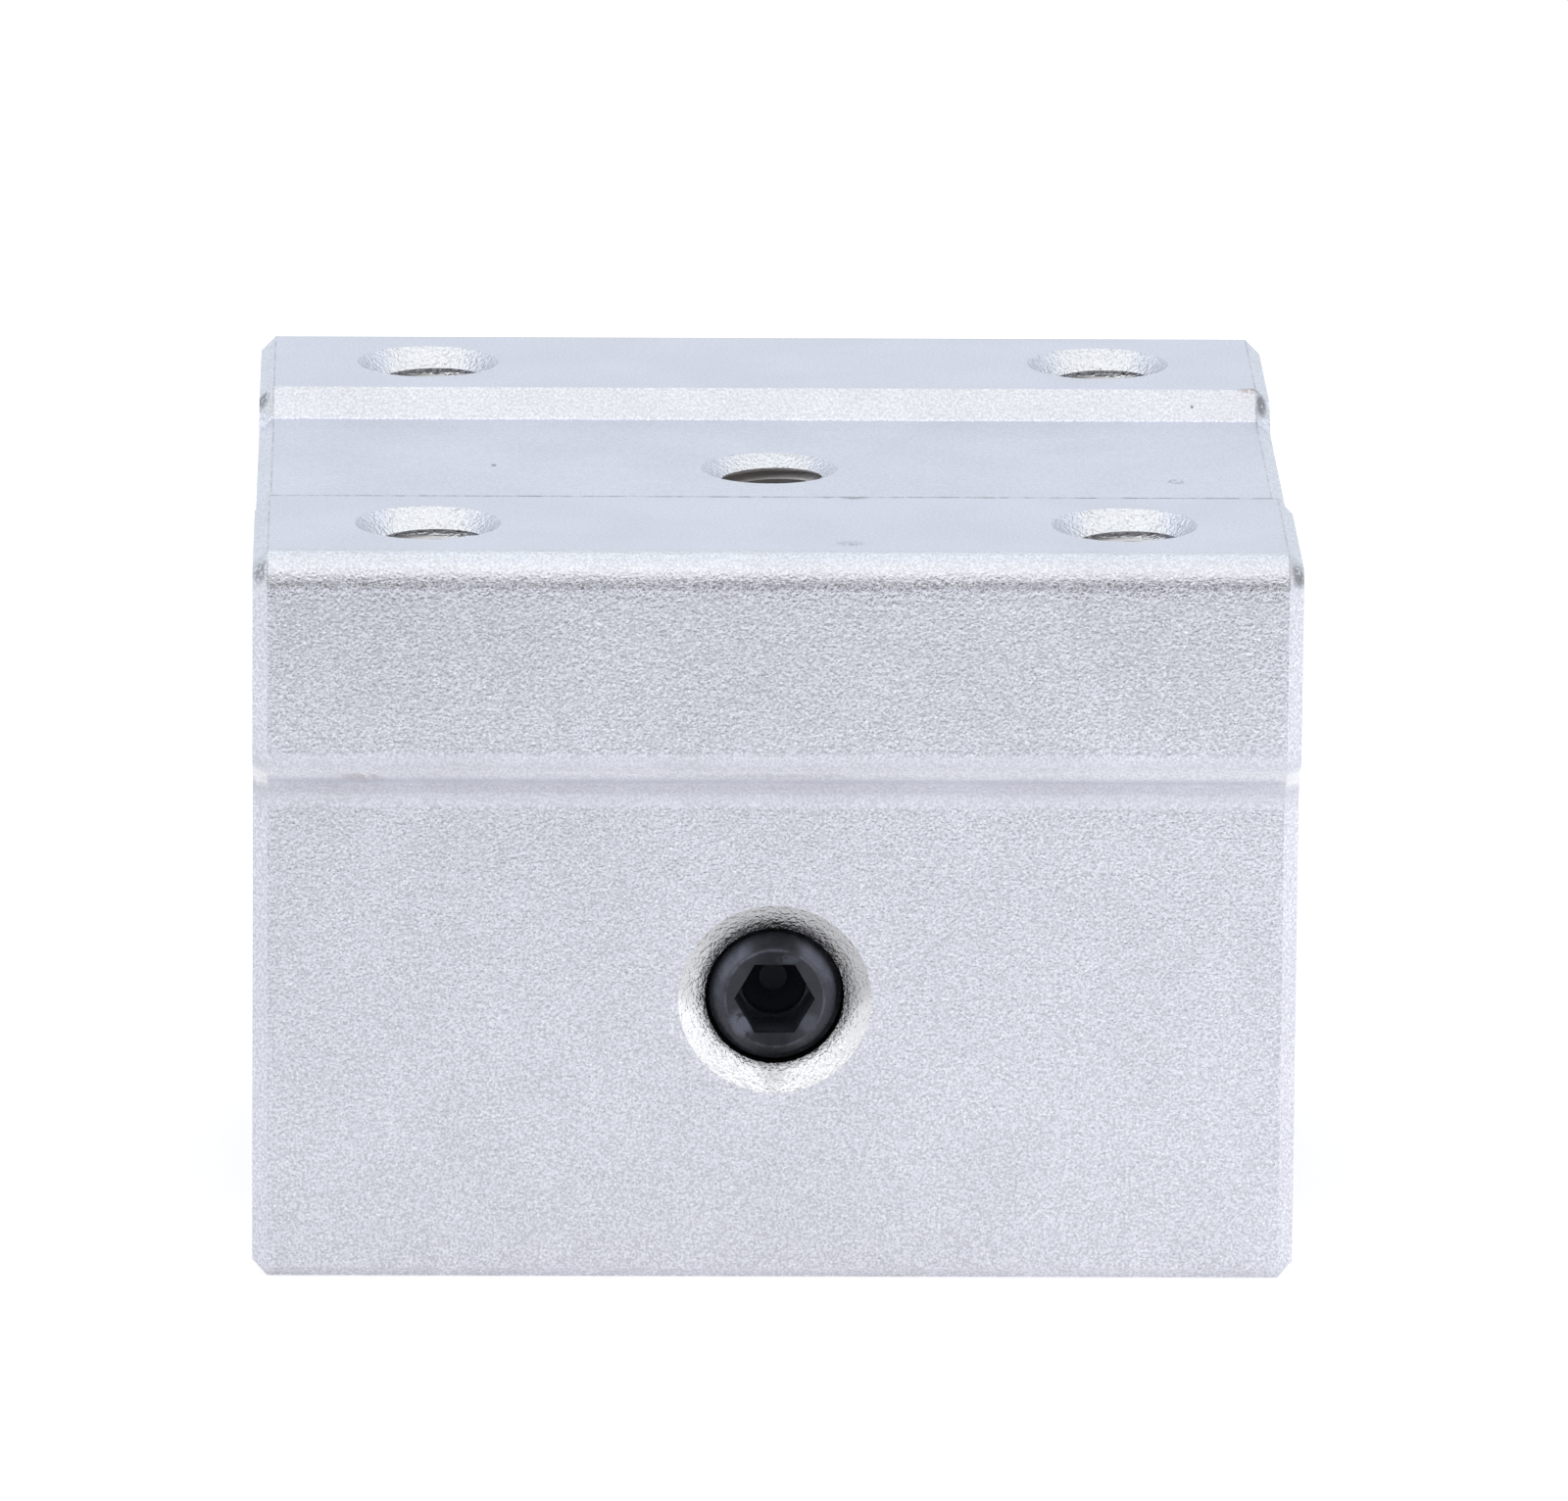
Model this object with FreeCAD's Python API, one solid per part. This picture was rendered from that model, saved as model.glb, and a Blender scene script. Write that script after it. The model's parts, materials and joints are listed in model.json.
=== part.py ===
import FreeCAD, Part
import math
import os

# Linear bearing block of the open type, for a 16 mm shaft that a rail carries from below.
# Lengths are in millimetres and angles in degrees.
# The origin is on the shaft's axis at mid-length. +X runs along the shaft and +Z points up, to the
# two pads that carry the load. The side with the set screw faces -Y and is called the front.
# Angles round the shaft count from +Y towards +Z.

# ---- Shaft and rail slot
SHAFT_DIAMETER = 16.0
SLOT_HALF_ANGLE = 40.0            # the slot for the rail spans twice this, round the bottom

# ---- Balls and their circuits
BALL_DIAMETER = 2.778
BALL_GAP = 0.05                   # least gap between neighbours in a turn
BALLS_PER_TURN = 3
BALL_LAND_CLEARANCE = 0.025       # loaded ball to its raceway
BALL_CHANNEL_CLEARANCE = 0.10     # ball to the cage and to the relieved part of the sleeve
LOWER_LOAD_ANGLE = -36.0          # loaded rows: this angle, the next, and their mirror images
UPPER_LOAD_ANGLE = 36.0

# ---- Outer sleeve of the bearing
BEARING_LENGTH = 37.0
SLEEVE_WALL = 1.55                # over the return rows
SLEEVE_END_CHAMFER = 0.5
RACEWAY_HALF_ANGLE = 11.0
RACEWAY_OVERRUN = 0.6             # raceway beyond the last place of a loaded ball
OUTER_GROOVE_SPAN = 26.5          # over the outer flanks of the two outer grooves
OUTER_GROOVE_WIDTH = 1.6
OUTER_GROOVE_DEPTH = 0.5

# ---- Ball cage
CAGE_BORE_CLEARANCE = 0.3         # cage to shaft
CAGE_RACEWAY_CLEARANCE = 0.15     # cage to raceways
CAGE_END_WALL = 1.6               # least wall past the turns
CAGE_END_GAP = 0.1

# ---- Rings that hold the cage in the sleeve
CAGE_RING_THICKNESS = 1.0
CAGE_RING_BORE_STEP = 0.85        # how far the ring reaches in past the cage's outside
CAGE_RING_GROOVE_DEPTH = 0.5
RING_SIDE_PLAY = 0.05
RING_RADIAL_PLAY = 0.05
RING_END_SETBACK = 1.5            # angle between a ring's end and the slot's edge

# ---- Seals
SEAL_THICKNESS = 2.0
SEAL_RECESS = 0.2                 # seal's face below the end of the sleeve
SEAL_SEAT_CLEARANCE = 0.03
SEAL_LIP_HEIGHT = 0.8
SEAL_LIP_LAND = 0.4

# ---- Snap rings that hold the bearing in the housing
SNAP_RING_THICKNESS = 1.2
SNAP_GROOVE_DEPTH = 0.7
SNAP_RING_TOP_WIDTH = 2.9
SNAP_RING_END_WIDTH = 2.1
SNAP_LUG_DEPTH = 4.3
SNAP_LUG_RADIUS = 2.0
SNAP_LUG_HOLE_DIAMETER = 2.0

# ---- Housing
SLEEVE_SEAT_CLEARANCE = 0.02
ROOF_WALL = 6.0                   # sleeve's top to the pads
SIDE_WALL = 6.5                   # sleeve's side to the side of the lower body
BASE_RISE = 1.5                   # underside above the sleeve's lowest point
HOUSING_OVERHANG = 4.0            # housing beyond each end of the bearing
FLANGE_OVERHANG = 2.0             # flange beyond the lower body, each side
FLANGE_HEIGHT = 8.6               # pads to the start of the step
FLANGE_EDGE_RADIUS = 1.5
STEP_RADIUS = 1.6                 # both arcs of the step under the flange
PAD_INNER_SPACING = 21.5          # groove between the pads
GROOVE_DEPTH = 1.2
FOOT_CHAMFER = 0.5
END_CHAMFER = 0.65
BORE_CHAMFER = 0.5

# ---- Tapped holes, at their tapping size: M5 in the top and M6 in the front
BOLT_SPACING_X = 30.0
BOLT_SPACING_Y = 32.0
BOLT_TAP_DIAMETER = 4.2
BOLT_HOLE_DEPTH = 12.0
BOLT_SINK_DIAMETER = 6.3
BOLT_SINK_ANGLE = 90.0            # included angle of a countersink
SHALLOW_SINK_ANGLE = 120.0        # the same for the centre hole and the set screw's hole
DRILL_POINT_ANGLE = 118.0
CENTRE_TAP_DIAMETER = 4.2
CENTRE_SINK_DIAMETER = 6.0
CENTRE_INNER_CHAMFER = 0.3        # at the hole's lower end, up from the crown of the bore

# ---- Set screw
SCREW_DIAMETER = 5.9
SCREW_HOLE_CLEARANCE = 0.05
SCREW_SINK_DIAMETER = 8.3
SCREW_RECESS = 0.15               # screw's face below the front
SCREW_TIP_ENTRY = 0.15            # tip inside the dimple of the sleeve
SCREW_TIP_CLEARANCE = 0.05
SCREW_TIP_DIAMETER = 4.0
SCREW_FACE_DIAMETER = 4.25
SCREW_RIM_DIAMETER = 5.6          # where the face's bevel ends and the lead begins
SCREW_LEAD_LENGTH = 0.5
SOCKET_ACROSS_FLATS = 3.0
SOCKET_DEPTH = 2.7
SOCKET_DRILL_DIAMETER = 2.8
SOCKET_DRILL_DEPTH = 3.4          # down to where the drill's point begins
SOCKET_DRILL_TIP_DIAMETER = 1.2

# ---- Derived: circuits
ball_radius = BALL_DIAMETER / 2
turn_radius = (BALL_DIAMETER + BALL_GAP) / (2 * math.sin(math.pi / (2 * BALLS_PER_TURN)))
ball_pitch = math.pi * turn_radius / BALLS_PER_TURN
channel_radius = ball_radius + BALL_CHANNEL_CLEARANCE
load_row_radius = SHAFT_DIAMETER / 2 + ball_radius
return_row_radius = math.hypot(load_row_radius, 2 * turn_radius)

# ---- Derived: sleeve. Its outer diameter is a whole tenth of a millimetre.
raceway_radius = load_row_radius + ball_radius + BALL_LAND_CLEARANCE
relief_radius = return_row_radius + ball_radius + BALL_CHANNEL_CLEARANCE
sleeve_radius = round(2 * (relief_radius + SLEEVE_WALL), 1) / 2
bearing_half = BEARING_LENGTH / 2

# ---- Derived: the stack inside each end of the sleeve, from the end inwards
seal_outer_x = bearing_half - SEAL_RECESS
seal_inner_x = seal_outer_x - SEAL_THICKNESS
cage_ring_outer_x = seal_inner_x - RING_SIDE_PLAY
cage_ring_inner_x = cage_ring_outer_x - CAGE_RING_THICKNESS
cage_half = cage_ring_inner_x - CAGE_END_GAP
cage_inner_radius = SHAFT_DIAMETER / 2 + CAGE_BORE_CLEARANCE
cage_outer_radius = raceway_radius - CAGE_RACEWAY_CLEARANCE
cage_ring_groove_radius = relief_radius + CAGE_RING_GROOVE_DEPTH

# ---- Derived: as many balls in a row as the cage has room for
room_for_row = 2 * (cage_half - CAGE_END_WALL - channel_radius - turn_radius)
balls_per_row = math.floor(room_for_row / ball_pitch)
row_half = balls_per_row * ball_pitch / 2

# ---- Derived: housing
bore_radius = sleeve_radius + SLEEVE_SEAT_CLEARANCE
top_z = sleeve_radius + ROOF_WALL
base_z = BASE_RISE - sleeve_radius
groove_floor_z = top_z - GROOVE_DEPTH
body_half_width = sleeve_radius + SIDE_WALL
flange_half_width = body_half_width + FLANGE_OVERHANG
housing_half = bearing_half + HOUSING_OVERHANG
snap_ring_inner_x = bearing_half + RING_SIDE_PLAY
snap_groove_radius = bore_radius + SNAP_GROOVE_DEPTH
snap_ring_radius = snap_groove_radius - RING_RADIAL_PLAY
screw_tip_radius_from_axis = sleeve_radius - SCREW_TIP_ENTRY

ORIGIN = FreeCAD.Vector(0, 0, 0)
AXIS_X = FreeCAD.Vector(1, 0, 0)
AXIS_Y = FreeCAD.Vector(0, 1, 0)
AXIS_Z = FreeCAD.Vector(0, 0, 1)


def polar(radius, angle):
    """A point at mid-length, at a radius and an angle round the shaft."""
    turn = math.radians(angle)
    return FreeCAD.Vector(0, radius * math.cos(turn), radius * math.sin(turn))


def turned_about_shaft(shape, angle):
    """The shape, turned about the shaft's axis."""
    turned = shape.copy()
    turned.rotate(ORIGIN, AXIS_X, angle)
    return turned


def revolved_sector(profile, start_angle, sweep):
    """A closed outline of (x, radius) points, revolved about the shaft."""
    points = [FreeCAD.Vector(x, radius, 0) for x, radius in profile + profile[:1]]
    face = Part.Face(Part.makePolygon(points))
    return turned_about_shaft(face.revolve(ORIGIN, AXIS_X, sweep), start_angle)


def open_ring(profile, setback=0.0):
    """An outline revolved about the shaft, open over the rail slot and a setback at each edge."""
    opening = SLOT_HALF_ANGLE + setback
    return revolved_sector(profile, opening - 90, 360 - 2 * opening)


def rectangle(x_low, x_high, radius_low, radius_high):
    """A rectangular outline of (x, radius) points."""
    return [(x_low, radius_low), (x_high, radius_low), (x_high, radius_high), (x_low, radius_high)]


def line(start, end):
    return Part.makeLine(start, end)


def arc_yz(centre, radius, start_angle, end_angle):
    """An arc across the shaft's direction, from one angle to another."""
    middle = (start_angle + end_angle) / 2
    points = [centre + polar(radius, angle) for angle in (start_angle, middle, end_angle)]
    return Part.Arc(*points).toShape()


# ---- Housing

def housing_section():
    """The extrusion's section: half of it is drawn, then mirrored across the middle."""
    step_turn = math.degrees(math.acos(1 - FLANGE_OVERHANG / (2 * STEP_RADIUS)))
    step_top = FreeCAD.Vector(0, flange_half_width, top_z - FLANGE_HEIGHT)
    upper_centre = step_top - AXIS_Y * STEP_RADIUS
    step_height = 2 * STEP_RADIUS * math.sin(math.radians(step_turn))
    step_foot = FreeCAD.Vector(0, body_half_width, step_top.z - step_height)
    lower_centre = step_foot + AXIS_Y * STEP_RADIUS
    edge_centre = FreeCAD.Vector(0, flange_half_width - FLANGE_EDGE_RADIUS, top_z - FLANGE_EDGE_RADIUS)
    slot_edge = polar(bore_radius, SLOT_HALF_ANGLE - 90)
    corners = [
        FreeCAD.Vector(0, 0, groove_floor_z),
        FreeCAD.Vector(0, PAD_INNER_SPACING / 2 - GROOVE_DEPTH, groove_floor_z),
        FreeCAD.Vector(0, PAD_INNER_SPACING / 2, top_z),
        edge_centre + AXIS_Z * FLANGE_EDGE_RADIUS,
    ]
    feet = [
        step_foot,
        FreeCAD.Vector(0, body_half_width, base_z + FOOT_CHAMFER),
        FreeCAD.Vector(0, body_half_width - FOOT_CHAMFER, base_z),
        slot_edge * (base_z / slot_edge.z),
        slot_edge,
    ]
    half = [line(start, end) for start, end in zip(corners, corners[1:])]
    half.append(arc_yz(edge_centre, FLANGE_EDGE_RADIUS, 90, 0))
    half.append(line(edge_centre + AXIS_Y * FLANGE_EDGE_RADIUS, step_top))
    half.append(arc_yz(upper_centre, STEP_RADIUS, 0, -step_turn))
    half.append(arc_yz(lower_centre, STEP_RADIUS, 180 - step_turn, 180))
    half += [line(start, end) for start, end in zip(feet, feet[1:])]
    half.append(arc_yz(ORIGIN, bore_radius, SLOT_HALF_ANGLE - 90, 90))
    mirrored = [edge.mirror(ORIGIN, AXIS_Y) for edge in half]
    return Part.Face(Part.Wire(Part.sortEdges(half + mirrored)[0]))


def housing_blank():
    """The extrusion cut to length, with both ends chamfered all round except at the bore."""
    section = housing_section()
    section.translate(AXIS_X * -housing_half)
    blank = section.extrude(AXIS_X * (2 * housing_half)).removeSplitter()
    rim = []
    for edge in blank.Edges:
        on_end = edge.BoundBox.XLength < housing_half
        on_bore = all(math.hypot(v.Y, v.Z) < bore_radius + SLEEVE_SEAT_CLEARANCE for v in edge.Vertexes)
        if on_end and not on_bore:
            rim.append(edge)
    return blank.makeChamfer(END_CHAMFER, rim)


def tapped_hole(mouth, direction, tap_diameter, sink_diameter, sink_angle, depth, point_angle=None):
    """A drilled and countersunk hole, with a drill point if it is blind."""
    sink_depth = (sink_diameter - tap_diameter) / 2 / math.tan(math.radians(sink_angle / 2))
    drill = Part.makeCylinder(tap_diameter / 2, depth, mouth, direction)
    sink = Part.makeCone(sink_diameter / 2, tap_diameter / 2, sink_depth, mouth, direction)
    hole = drill.fuse(sink)
    if point_angle:
        point_depth = tap_diameter / 2 / math.tan(math.radians(point_angle / 2))
        point = Part.makeCone(tap_diameter / 2, 0, point_depth, mouth + direction * depth, direction)
        hole = hole.fuse(point)
    return hole


def make_housing():
    housing = housing_blank()
    holes = []
    for x in (-BOLT_SPACING_X / 2, BOLT_SPACING_X / 2):
        for y in (-BOLT_SPACING_Y / 2, BOLT_SPACING_Y / 2):
            mouth = FreeCAD.Vector(x, y, top_z)
            holes.append(tapped_hole(mouth, -AXIS_Z, BOLT_TAP_DIAMETER, BOLT_SINK_DIAMETER, BOLT_SINK_ANGLE,
                                     BOLT_HOLE_DEPTH, DRILL_POINT_ANGLE))
    centre_mouth = FreeCAD.Vector(0, 0, groove_floor_z)
    holes.append(tapped_hole(centre_mouth, -AXIS_Z, CENTRE_TAP_DIAMETER, CENTRE_SINK_DIAMETER,
                             SHALLOW_SINK_ANGLE, groove_floor_z))
    chamfer_foot = FreeCAD.Vector(0, 0, bore_radius - CENTRE_INNER_CHAMFER)
    holes.append(Part.makeCone(CENTRE_TAP_DIAMETER / 2 + 2 * CENTRE_INNER_CHAMFER, CENTRE_TAP_DIAMETER / 2,
                               2 * CENTRE_INNER_CHAMFER, chamfer_foot, AXIS_Z))
    screw_mouth = FreeCAD.Vector(0, -body_half_width, 0)
    screw_hole_diameter = SCREW_DIAMETER + 2 * SCREW_HOLE_CLEARANCE
    holes.append(tapped_hole(screw_mouth, AXIS_Y, screw_hole_diameter, SCREW_SINK_DIAMETER,
                             SHALLOW_SINK_ANGLE, body_half_width))
    for side in (-1, 1):
        groove_start = side * (snap_ring_inner_x - RING_SIDE_PLAY)
        groove_width = SNAP_RING_THICKNESS + 2 * RING_SIDE_PLAY
        groove = Part.makeCylinder(snap_groove_radius, groove_width, AXIS_X * groove_start, AXIS_X * side)
        lead = Part.makeCone(bore_radius + BORE_CHAMFER, bore_radius, BORE_CHAMFER,
                             AXIS_X * side * housing_half, AXIS_X * -side)
        holes += [groove, lead]
    return housing.cut(holes)


def make_set_screw():
    """The screw lies along Y, with its face to the front and its tip in the sleeve's dimple."""
    radius = SCREW_DIAMETER / 2
    face_y = SCREW_RECESS - body_half_width
    tip_y = -screw_tip_radius_from_axis
    rim_y = face_y + (SCREW_RIM_DIAMETER - SCREW_FACE_DIAMETER) / 2
    tip_bevel = (SCREW_DIAMETER - SCREW_TIP_DIAMETER) / 2
    outline = [(0, face_y), (SCREW_FACE_DIAMETER / 2, face_y), (SCREW_RIM_DIAMETER / 2, rim_y),
               (radius, rim_y + SCREW_LEAD_LENGTH), (radius, tip_y - tip_bevel),
               (SCREW_TIP_DIAMETER / 2, tip_y), (0, tip_y)]
    points = [FreeCAD.Vector(r, y, 0) for r, y in outline + outline[:1]]
    screw = Part.Face(Part.makePolygon(points)).revolve(ORIGIN, AXIS_Y, 360)
    corner_radius = SOCKET_ACROSS_FLATS / math.sqrt(3)
    corners = [FreeCAD.Vector(corner_radius * math.cos(math.radians(a)), face_y,
                              corner_radius * math.sin(math.radians(a))) for a in range(0, 361, 60)]
    socket = Part.Face(Part.makePolygon(corners)).extrude(AXIS_Y * SOCKET_DEPTH)
    drilled = Part.makeCylinder(SOCKET_DRILL_DIAMETER / 2, SOCKET_DRILL_DEPTH, AXIS_Y * face_y, AXIS_Y)
    point_depth = ((SOCKET_DRILL_DIAMETER - SOCKET_DRILL_TIP_DIAMETER) / 2
                   / math.tan(math.radians(DRILL_POINT_ANGLE / 2)))
    drill_point = Part.makeCone(SOCKET_DRILL_DIAMETER / 2, SOCKET_DRILL_TIP_DIAMETER / 2, point_depth,
                                AXIS_Y * (face_y + SOCKET_DRILL_DEPTH), AXIS_Y)
    return screw.cut([socket, drilled, drill_point])


def make_snap_ring(side):
    """Internal ring, widest at the top, with a holed lug at each end beside the slot."""
    inner_top = snap_ring_radius - SNAP_RING_TOP_WIDTH
    inner_radius = snap_ring_radius - (SNAP_RING_TOP_WIDTH + SNAP_RING_END_WIDTH) / 2
    inner_shift = inner_radius - inner_top
    start = AXIS_X * (side * snap_ring_inner_x)
    direction = AXIS_X * side
    ring = Part.makeCylinder(snap_ring_radius, SNAP_RING_THICKNESS, start, direction)
    hollow = Part.makeCylinder(inner_radius, SNAP_RING_THICKNESS, start - AXIS_Z * inner_shift, direction)
    ring = ring.cut(hollow)
    lug_centre_radius = snap_ring_radius - SNAP_LUG_DEPTH + SNAP_LUG_RADIUS
    lug_half_angle = math.degrees(math.asin(SNAP_LUG_RADIUS / lug_centre_radius))
    lug_angle = SLOT_HALF_ANGLE + RING_END_SETBACK + lug_half_angle
    lugs = []
    eyes = []
    x_low = min(side * snap_ring_inner_x, side * (snap_ring_inner_x + SNAP_RING_THICKNESS))
    for angle in (lug_angle - 90, 270 - lug_angle):
        centre = polar(lug_centre_radius, angle) + start
        lugs.append(Part.makeCylinder(SNAP_LUG_RADIUS, SNAP_RING_THICKNESS, centre, direction))
        shank = rectangle(x_low, x_low + SNAP_RING_THICKNESS, lug_centre_radius, snap_ring_radius)
        lugs.append(revolved_sector(shank, angle - lug_half_angle, 2 * lug_half_angle))
        eyes.append(Part.makeCylinder(SNAP_LUG_HOLE_DIAMETER / 2, SNAP_RING_THICKNESS, centre, direction))
    opening = SLOT_HALF_ANGLE + RING_END_SETBACK
    gap = rectangle(x_low, x_low + SNAP_RING_THICKNESS, 0, 2 * snap_ring_radius)
    mouth = revolved_sector(gap, -90 - opening, 2 * opening)
    return ring.fuse(lugs).cut(eyes + [mouth]).removeSplitter()


# ---- Bearing

def make_sleeve():
    """Turned sleeve with outer and inner grooves, four raceways inside and the screw's dimple."""
    groove_outer = OUTER_GROOVE_SPAN / 2
    groove_inner = groove_outer - OUTER_GROOVE_WIDTH
    groove_radius = sleeve_radius - OUTER_GROOVE_DEPTH
    ring_outer = cage_ring_outer_x + RING_SIDE_PLAY
    ring_inner = cage_ring_inner_x - RING_SIDE_PLAY
    outside = [(groove_inner, sleeve_radius), (groove_inner, groove_radius), (groove_outer, groove_radius),
               (groove_outer, sleeve_radius), (bearing_half - SLEEVE_END_CHAMFER, sleeve_radius),
               (bearing_half, sleeve_radius - SLEEVE_END_CHAMFER)]
    inside = [(bearing_half, relief_radius), (ring_outer, relief_radius),
              (ring_outer, cage_ring_groove_radius), (ring_inner, cage_ring_groove_radius),
              (ring_inner, relief_radius)]
    half = outside + inside
    sleeve = open_ring(half + [(-x, radius) for x, radius in reversed(half)])
    overlap = SLEEVE_WALL / 2
    raceway_half = row_half + RACEWAY_OVERRUN
    raceway = rectangle(-raceway_half, raceway_half, raceway_radius, relief_radius + overlap)
    lands = [revolved_sector(raceway, load_angle - RACEWAY_HALF_ANGLE, 2 * RACEWAY_HALF_ANGLE)
             for load_angle, load_side in circuits.values()]
    dimple_radius = SCREW_TIP_DIAMETER / 2 + SCREW_TIP_CLEARANCE
    dimple_floor = screw_tip_radius_from_axis - SCREW_TIP_CLEARANCE
    dimple = Part.makeCone(dimple_radius, 2 * dimple_radius, dimple_radius, AXIS_Y * -dimple_floor, -AXIS_Y)
    return sleeve.fuse(lands).cut(dimple).removeSplitter()


def make_cage_ring(side):
    near, far = sorted((side * cage_ring_inner_x, side * cage_ring_outer_x))
    inner_radius = cage_outer_radius - CAGE_RING_BORE_STEP
    outer_radius = cage_ring_groove_radius - RING_RADIAL_PLAY
    return open_ring(rectangle(near, far, inner_radius, outer_radius), RING_END_SETBACK)


def make_seal(side):
    """Seal with a lip that bears on the shaft."""
    shaft_radius = SHAFT_DIAMETER / 2
    seat_radius = relief_radius - SEAL_SEAT_CLEARANCE
    lip_root = shaft_radius + SEAL_LIP_HEIGHT
    middle = (seal_inner_x + seal_outer_x) / 2
    outline = [(seal_inner_x, seat_radius), (seal_outer_x, seat_radius), (seal_outer_x, lip_root),
               (middle + SEAL_LIP_LAND / 2, shaft_radius), (middle - SEAL_LIP_LAND / 2, shaft_radius),
               (seal_inner_x, lip_root)]
    return open_ring([(side * x, radius) for x, radius in outline])


# ---- Ball circuits. Each is a flat racetrack: a loaded row, a return row and a turn at each end.
# Its plane is square to the radius through the loaded row, so that a ball leaves the shaft as it turns.
# A circuit is drawn flat in XY, with local Z outwards. Its loaded row is at local +Y where the load
# side is 1, and at local -Y where it is -1.

circuits = {
    "lower_back": (LOWER_LOAD_ANGLE, 1),
    "upper_back": (UPPER_LOAD_ANGLE, 1),
    "upper_front": (180 - UPPER_LOAD_ANGLE, -1),
    "lower_front": (180 - LOWER_LOAD_ANGLE, -1),
}


def circuit_placement(load_angle, load_side):
    """Carries a flat circuit to its place in the bearing."""
    rotation = FreeCAD.Rotation(AXIS_X, load_angle - 90)
    to_load_row = rotation.multVec(AXIS_Y * (load_side * turn_radius))
    return FreeCAD.Placement(polar(load_row_radius, load_angle) - to_load_row, rotation)


def channel_section(x, y):
    """The channel's section across a row: a round floor, open outwards."""
    left = FreeCAD.Vector(x, y - channel_radius, 0)
    right = FreeCAD.Vector(x, y + channel_radius, 0)
    rise = AXIS_Z * (cage_outer_radius - cage_inner_radius)
    floor = Part.Arc(left, FreeCAD.Vector(x, y, -channel_radius), right).toShape()
    walls = [line(right, right + rise), line(right + rise, left + rise), line(left + rise, left)]
    return Part.Face(Part.Wire([floor] + walls))


def circuit_channel():
    """The space that the balls of a flat circuit run in: two rows and two turns."""
    pieces = []
    for side in (-1, 1):
        y = side * turn_radius
        pieces.append(channel_section(-row_half, y).extrude(AXIS_X * (2 * row_half)))
        turn_centre = AXIS_X * (side * row_half)
        pieces.append(channel_section(turn_centre.x, y).revolve(turn_centre, AXIS_Z, -180))
    return pieces[0].fuse(pieces[1:])


def make_cage():
    """Moulded cage: a split tube with one channel for each circuit."""
    cage = open_ring(rectangle(-cage_half, cage_half, cage_inner_radius, cage_outer_radius))
    channels = []
    for load_angle, load_side in circuits.values():
        channel = circuit_channel()
        channel.Placement = circuit_placement(load_angle, load_side)
        channels.append(channel)
    return cage.cut(channels)


def row_centres(y):
    """Ball centres of one row of a flat circuit."""
    first = -(balls_per_row - 1) / 2
    return [FreeCAD.Vector((first + i) * ball_pitch, y, 0) for i in range(balls_per_row)]


def turn_centres(side):
    """Ball centres of the turn at one end of a flat circuit."""
    step = math.pi / BALLS_PER_TURN
    angles = [(i + 0.5) * step for i in range(BALLS_PER_TURN)]
    return [FreeCAD.Vector(side * (row_half + turn_radius * math.sin(a)), turn_radius * math.cos(a), 0)
            for a in angles]


def circuit_balls(load_angle, load_side):
    """The four groups of balls of one circuit, in their places."""
    placement = circuit_placement(load_angle, load_side)
    load_y = turn_radius * load_side
    groups = {
        "load_balls": row_centres(load_y),
        "return_balls": row_centres(-load_y),
        "left_turn_balls": turn_centres(-1),
        "right_turn_balls": turn_centres(1),
    }
    return {name: Part.makeCompound([Part.makeSphere(ball_radius, placement.multVec(centre))
                                     for centre in centres])
            for name, centres in groups.items()}


# ---- Pieces, one STEP file each

pieces = {
    "housing": make_housing(),
    "set_screw": make_set_screw(),
    "bearing_sleeve": make_sleeve(),
    "ball_cage": make_cage(),
}
for end, side in (("left", -1), ("right", 1)):
    pieces[end + "_snap_ring"] = make_snap_ring(side)
    pieces[end + "_cage_ring"] = make_cage_ring(side)
    pieces[end + "_seal"] = make_seal(side)
for place, (load_angle, load_side) in circuits.items():
    for group, balls in circuit_balls(load_angle, load_side).items():
        pieces[group + "_" + place] = balls

os.makedirs("parts", exist_ok=True)
for name, shape in pieces.items():
    shape.exportStep("parts/" + name + ".step")
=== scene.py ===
"""Finishes, threads and a studio stage for an open linear bearing block."""

import json
import math

import bpy
from bpy.props import FloatProperty, FloatVectorProperty, IntProperty, PointerProperty
from bpy.types import Operator, Panel, PropertyGroup
from mathutils import Matrix, Vector


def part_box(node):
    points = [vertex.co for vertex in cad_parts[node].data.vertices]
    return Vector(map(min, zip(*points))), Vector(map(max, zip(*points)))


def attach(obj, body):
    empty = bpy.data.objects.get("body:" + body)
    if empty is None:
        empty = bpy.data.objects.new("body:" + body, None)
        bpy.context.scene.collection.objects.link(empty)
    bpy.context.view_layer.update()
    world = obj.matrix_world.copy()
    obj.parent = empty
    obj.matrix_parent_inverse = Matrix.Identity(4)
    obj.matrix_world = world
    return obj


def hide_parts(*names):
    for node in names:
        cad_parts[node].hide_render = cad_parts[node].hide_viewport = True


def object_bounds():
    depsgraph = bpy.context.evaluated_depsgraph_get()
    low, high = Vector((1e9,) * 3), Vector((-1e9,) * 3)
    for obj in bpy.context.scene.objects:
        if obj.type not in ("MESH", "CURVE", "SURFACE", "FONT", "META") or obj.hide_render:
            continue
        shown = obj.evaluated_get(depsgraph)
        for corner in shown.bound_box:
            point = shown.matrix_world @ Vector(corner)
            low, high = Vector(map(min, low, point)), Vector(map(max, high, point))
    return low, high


bl_info = {
    "name": "Bearing Block Finishes",
    "version": (1, 0, 0),
    "blender": (4, 5, 0),
    "location": "View3D > Sidebar > Bearing Block",
    "description": "Threads, finishes and a studio stage for an open linear bearing block",
    "category": "Object",
}

MM = 0.001

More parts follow.
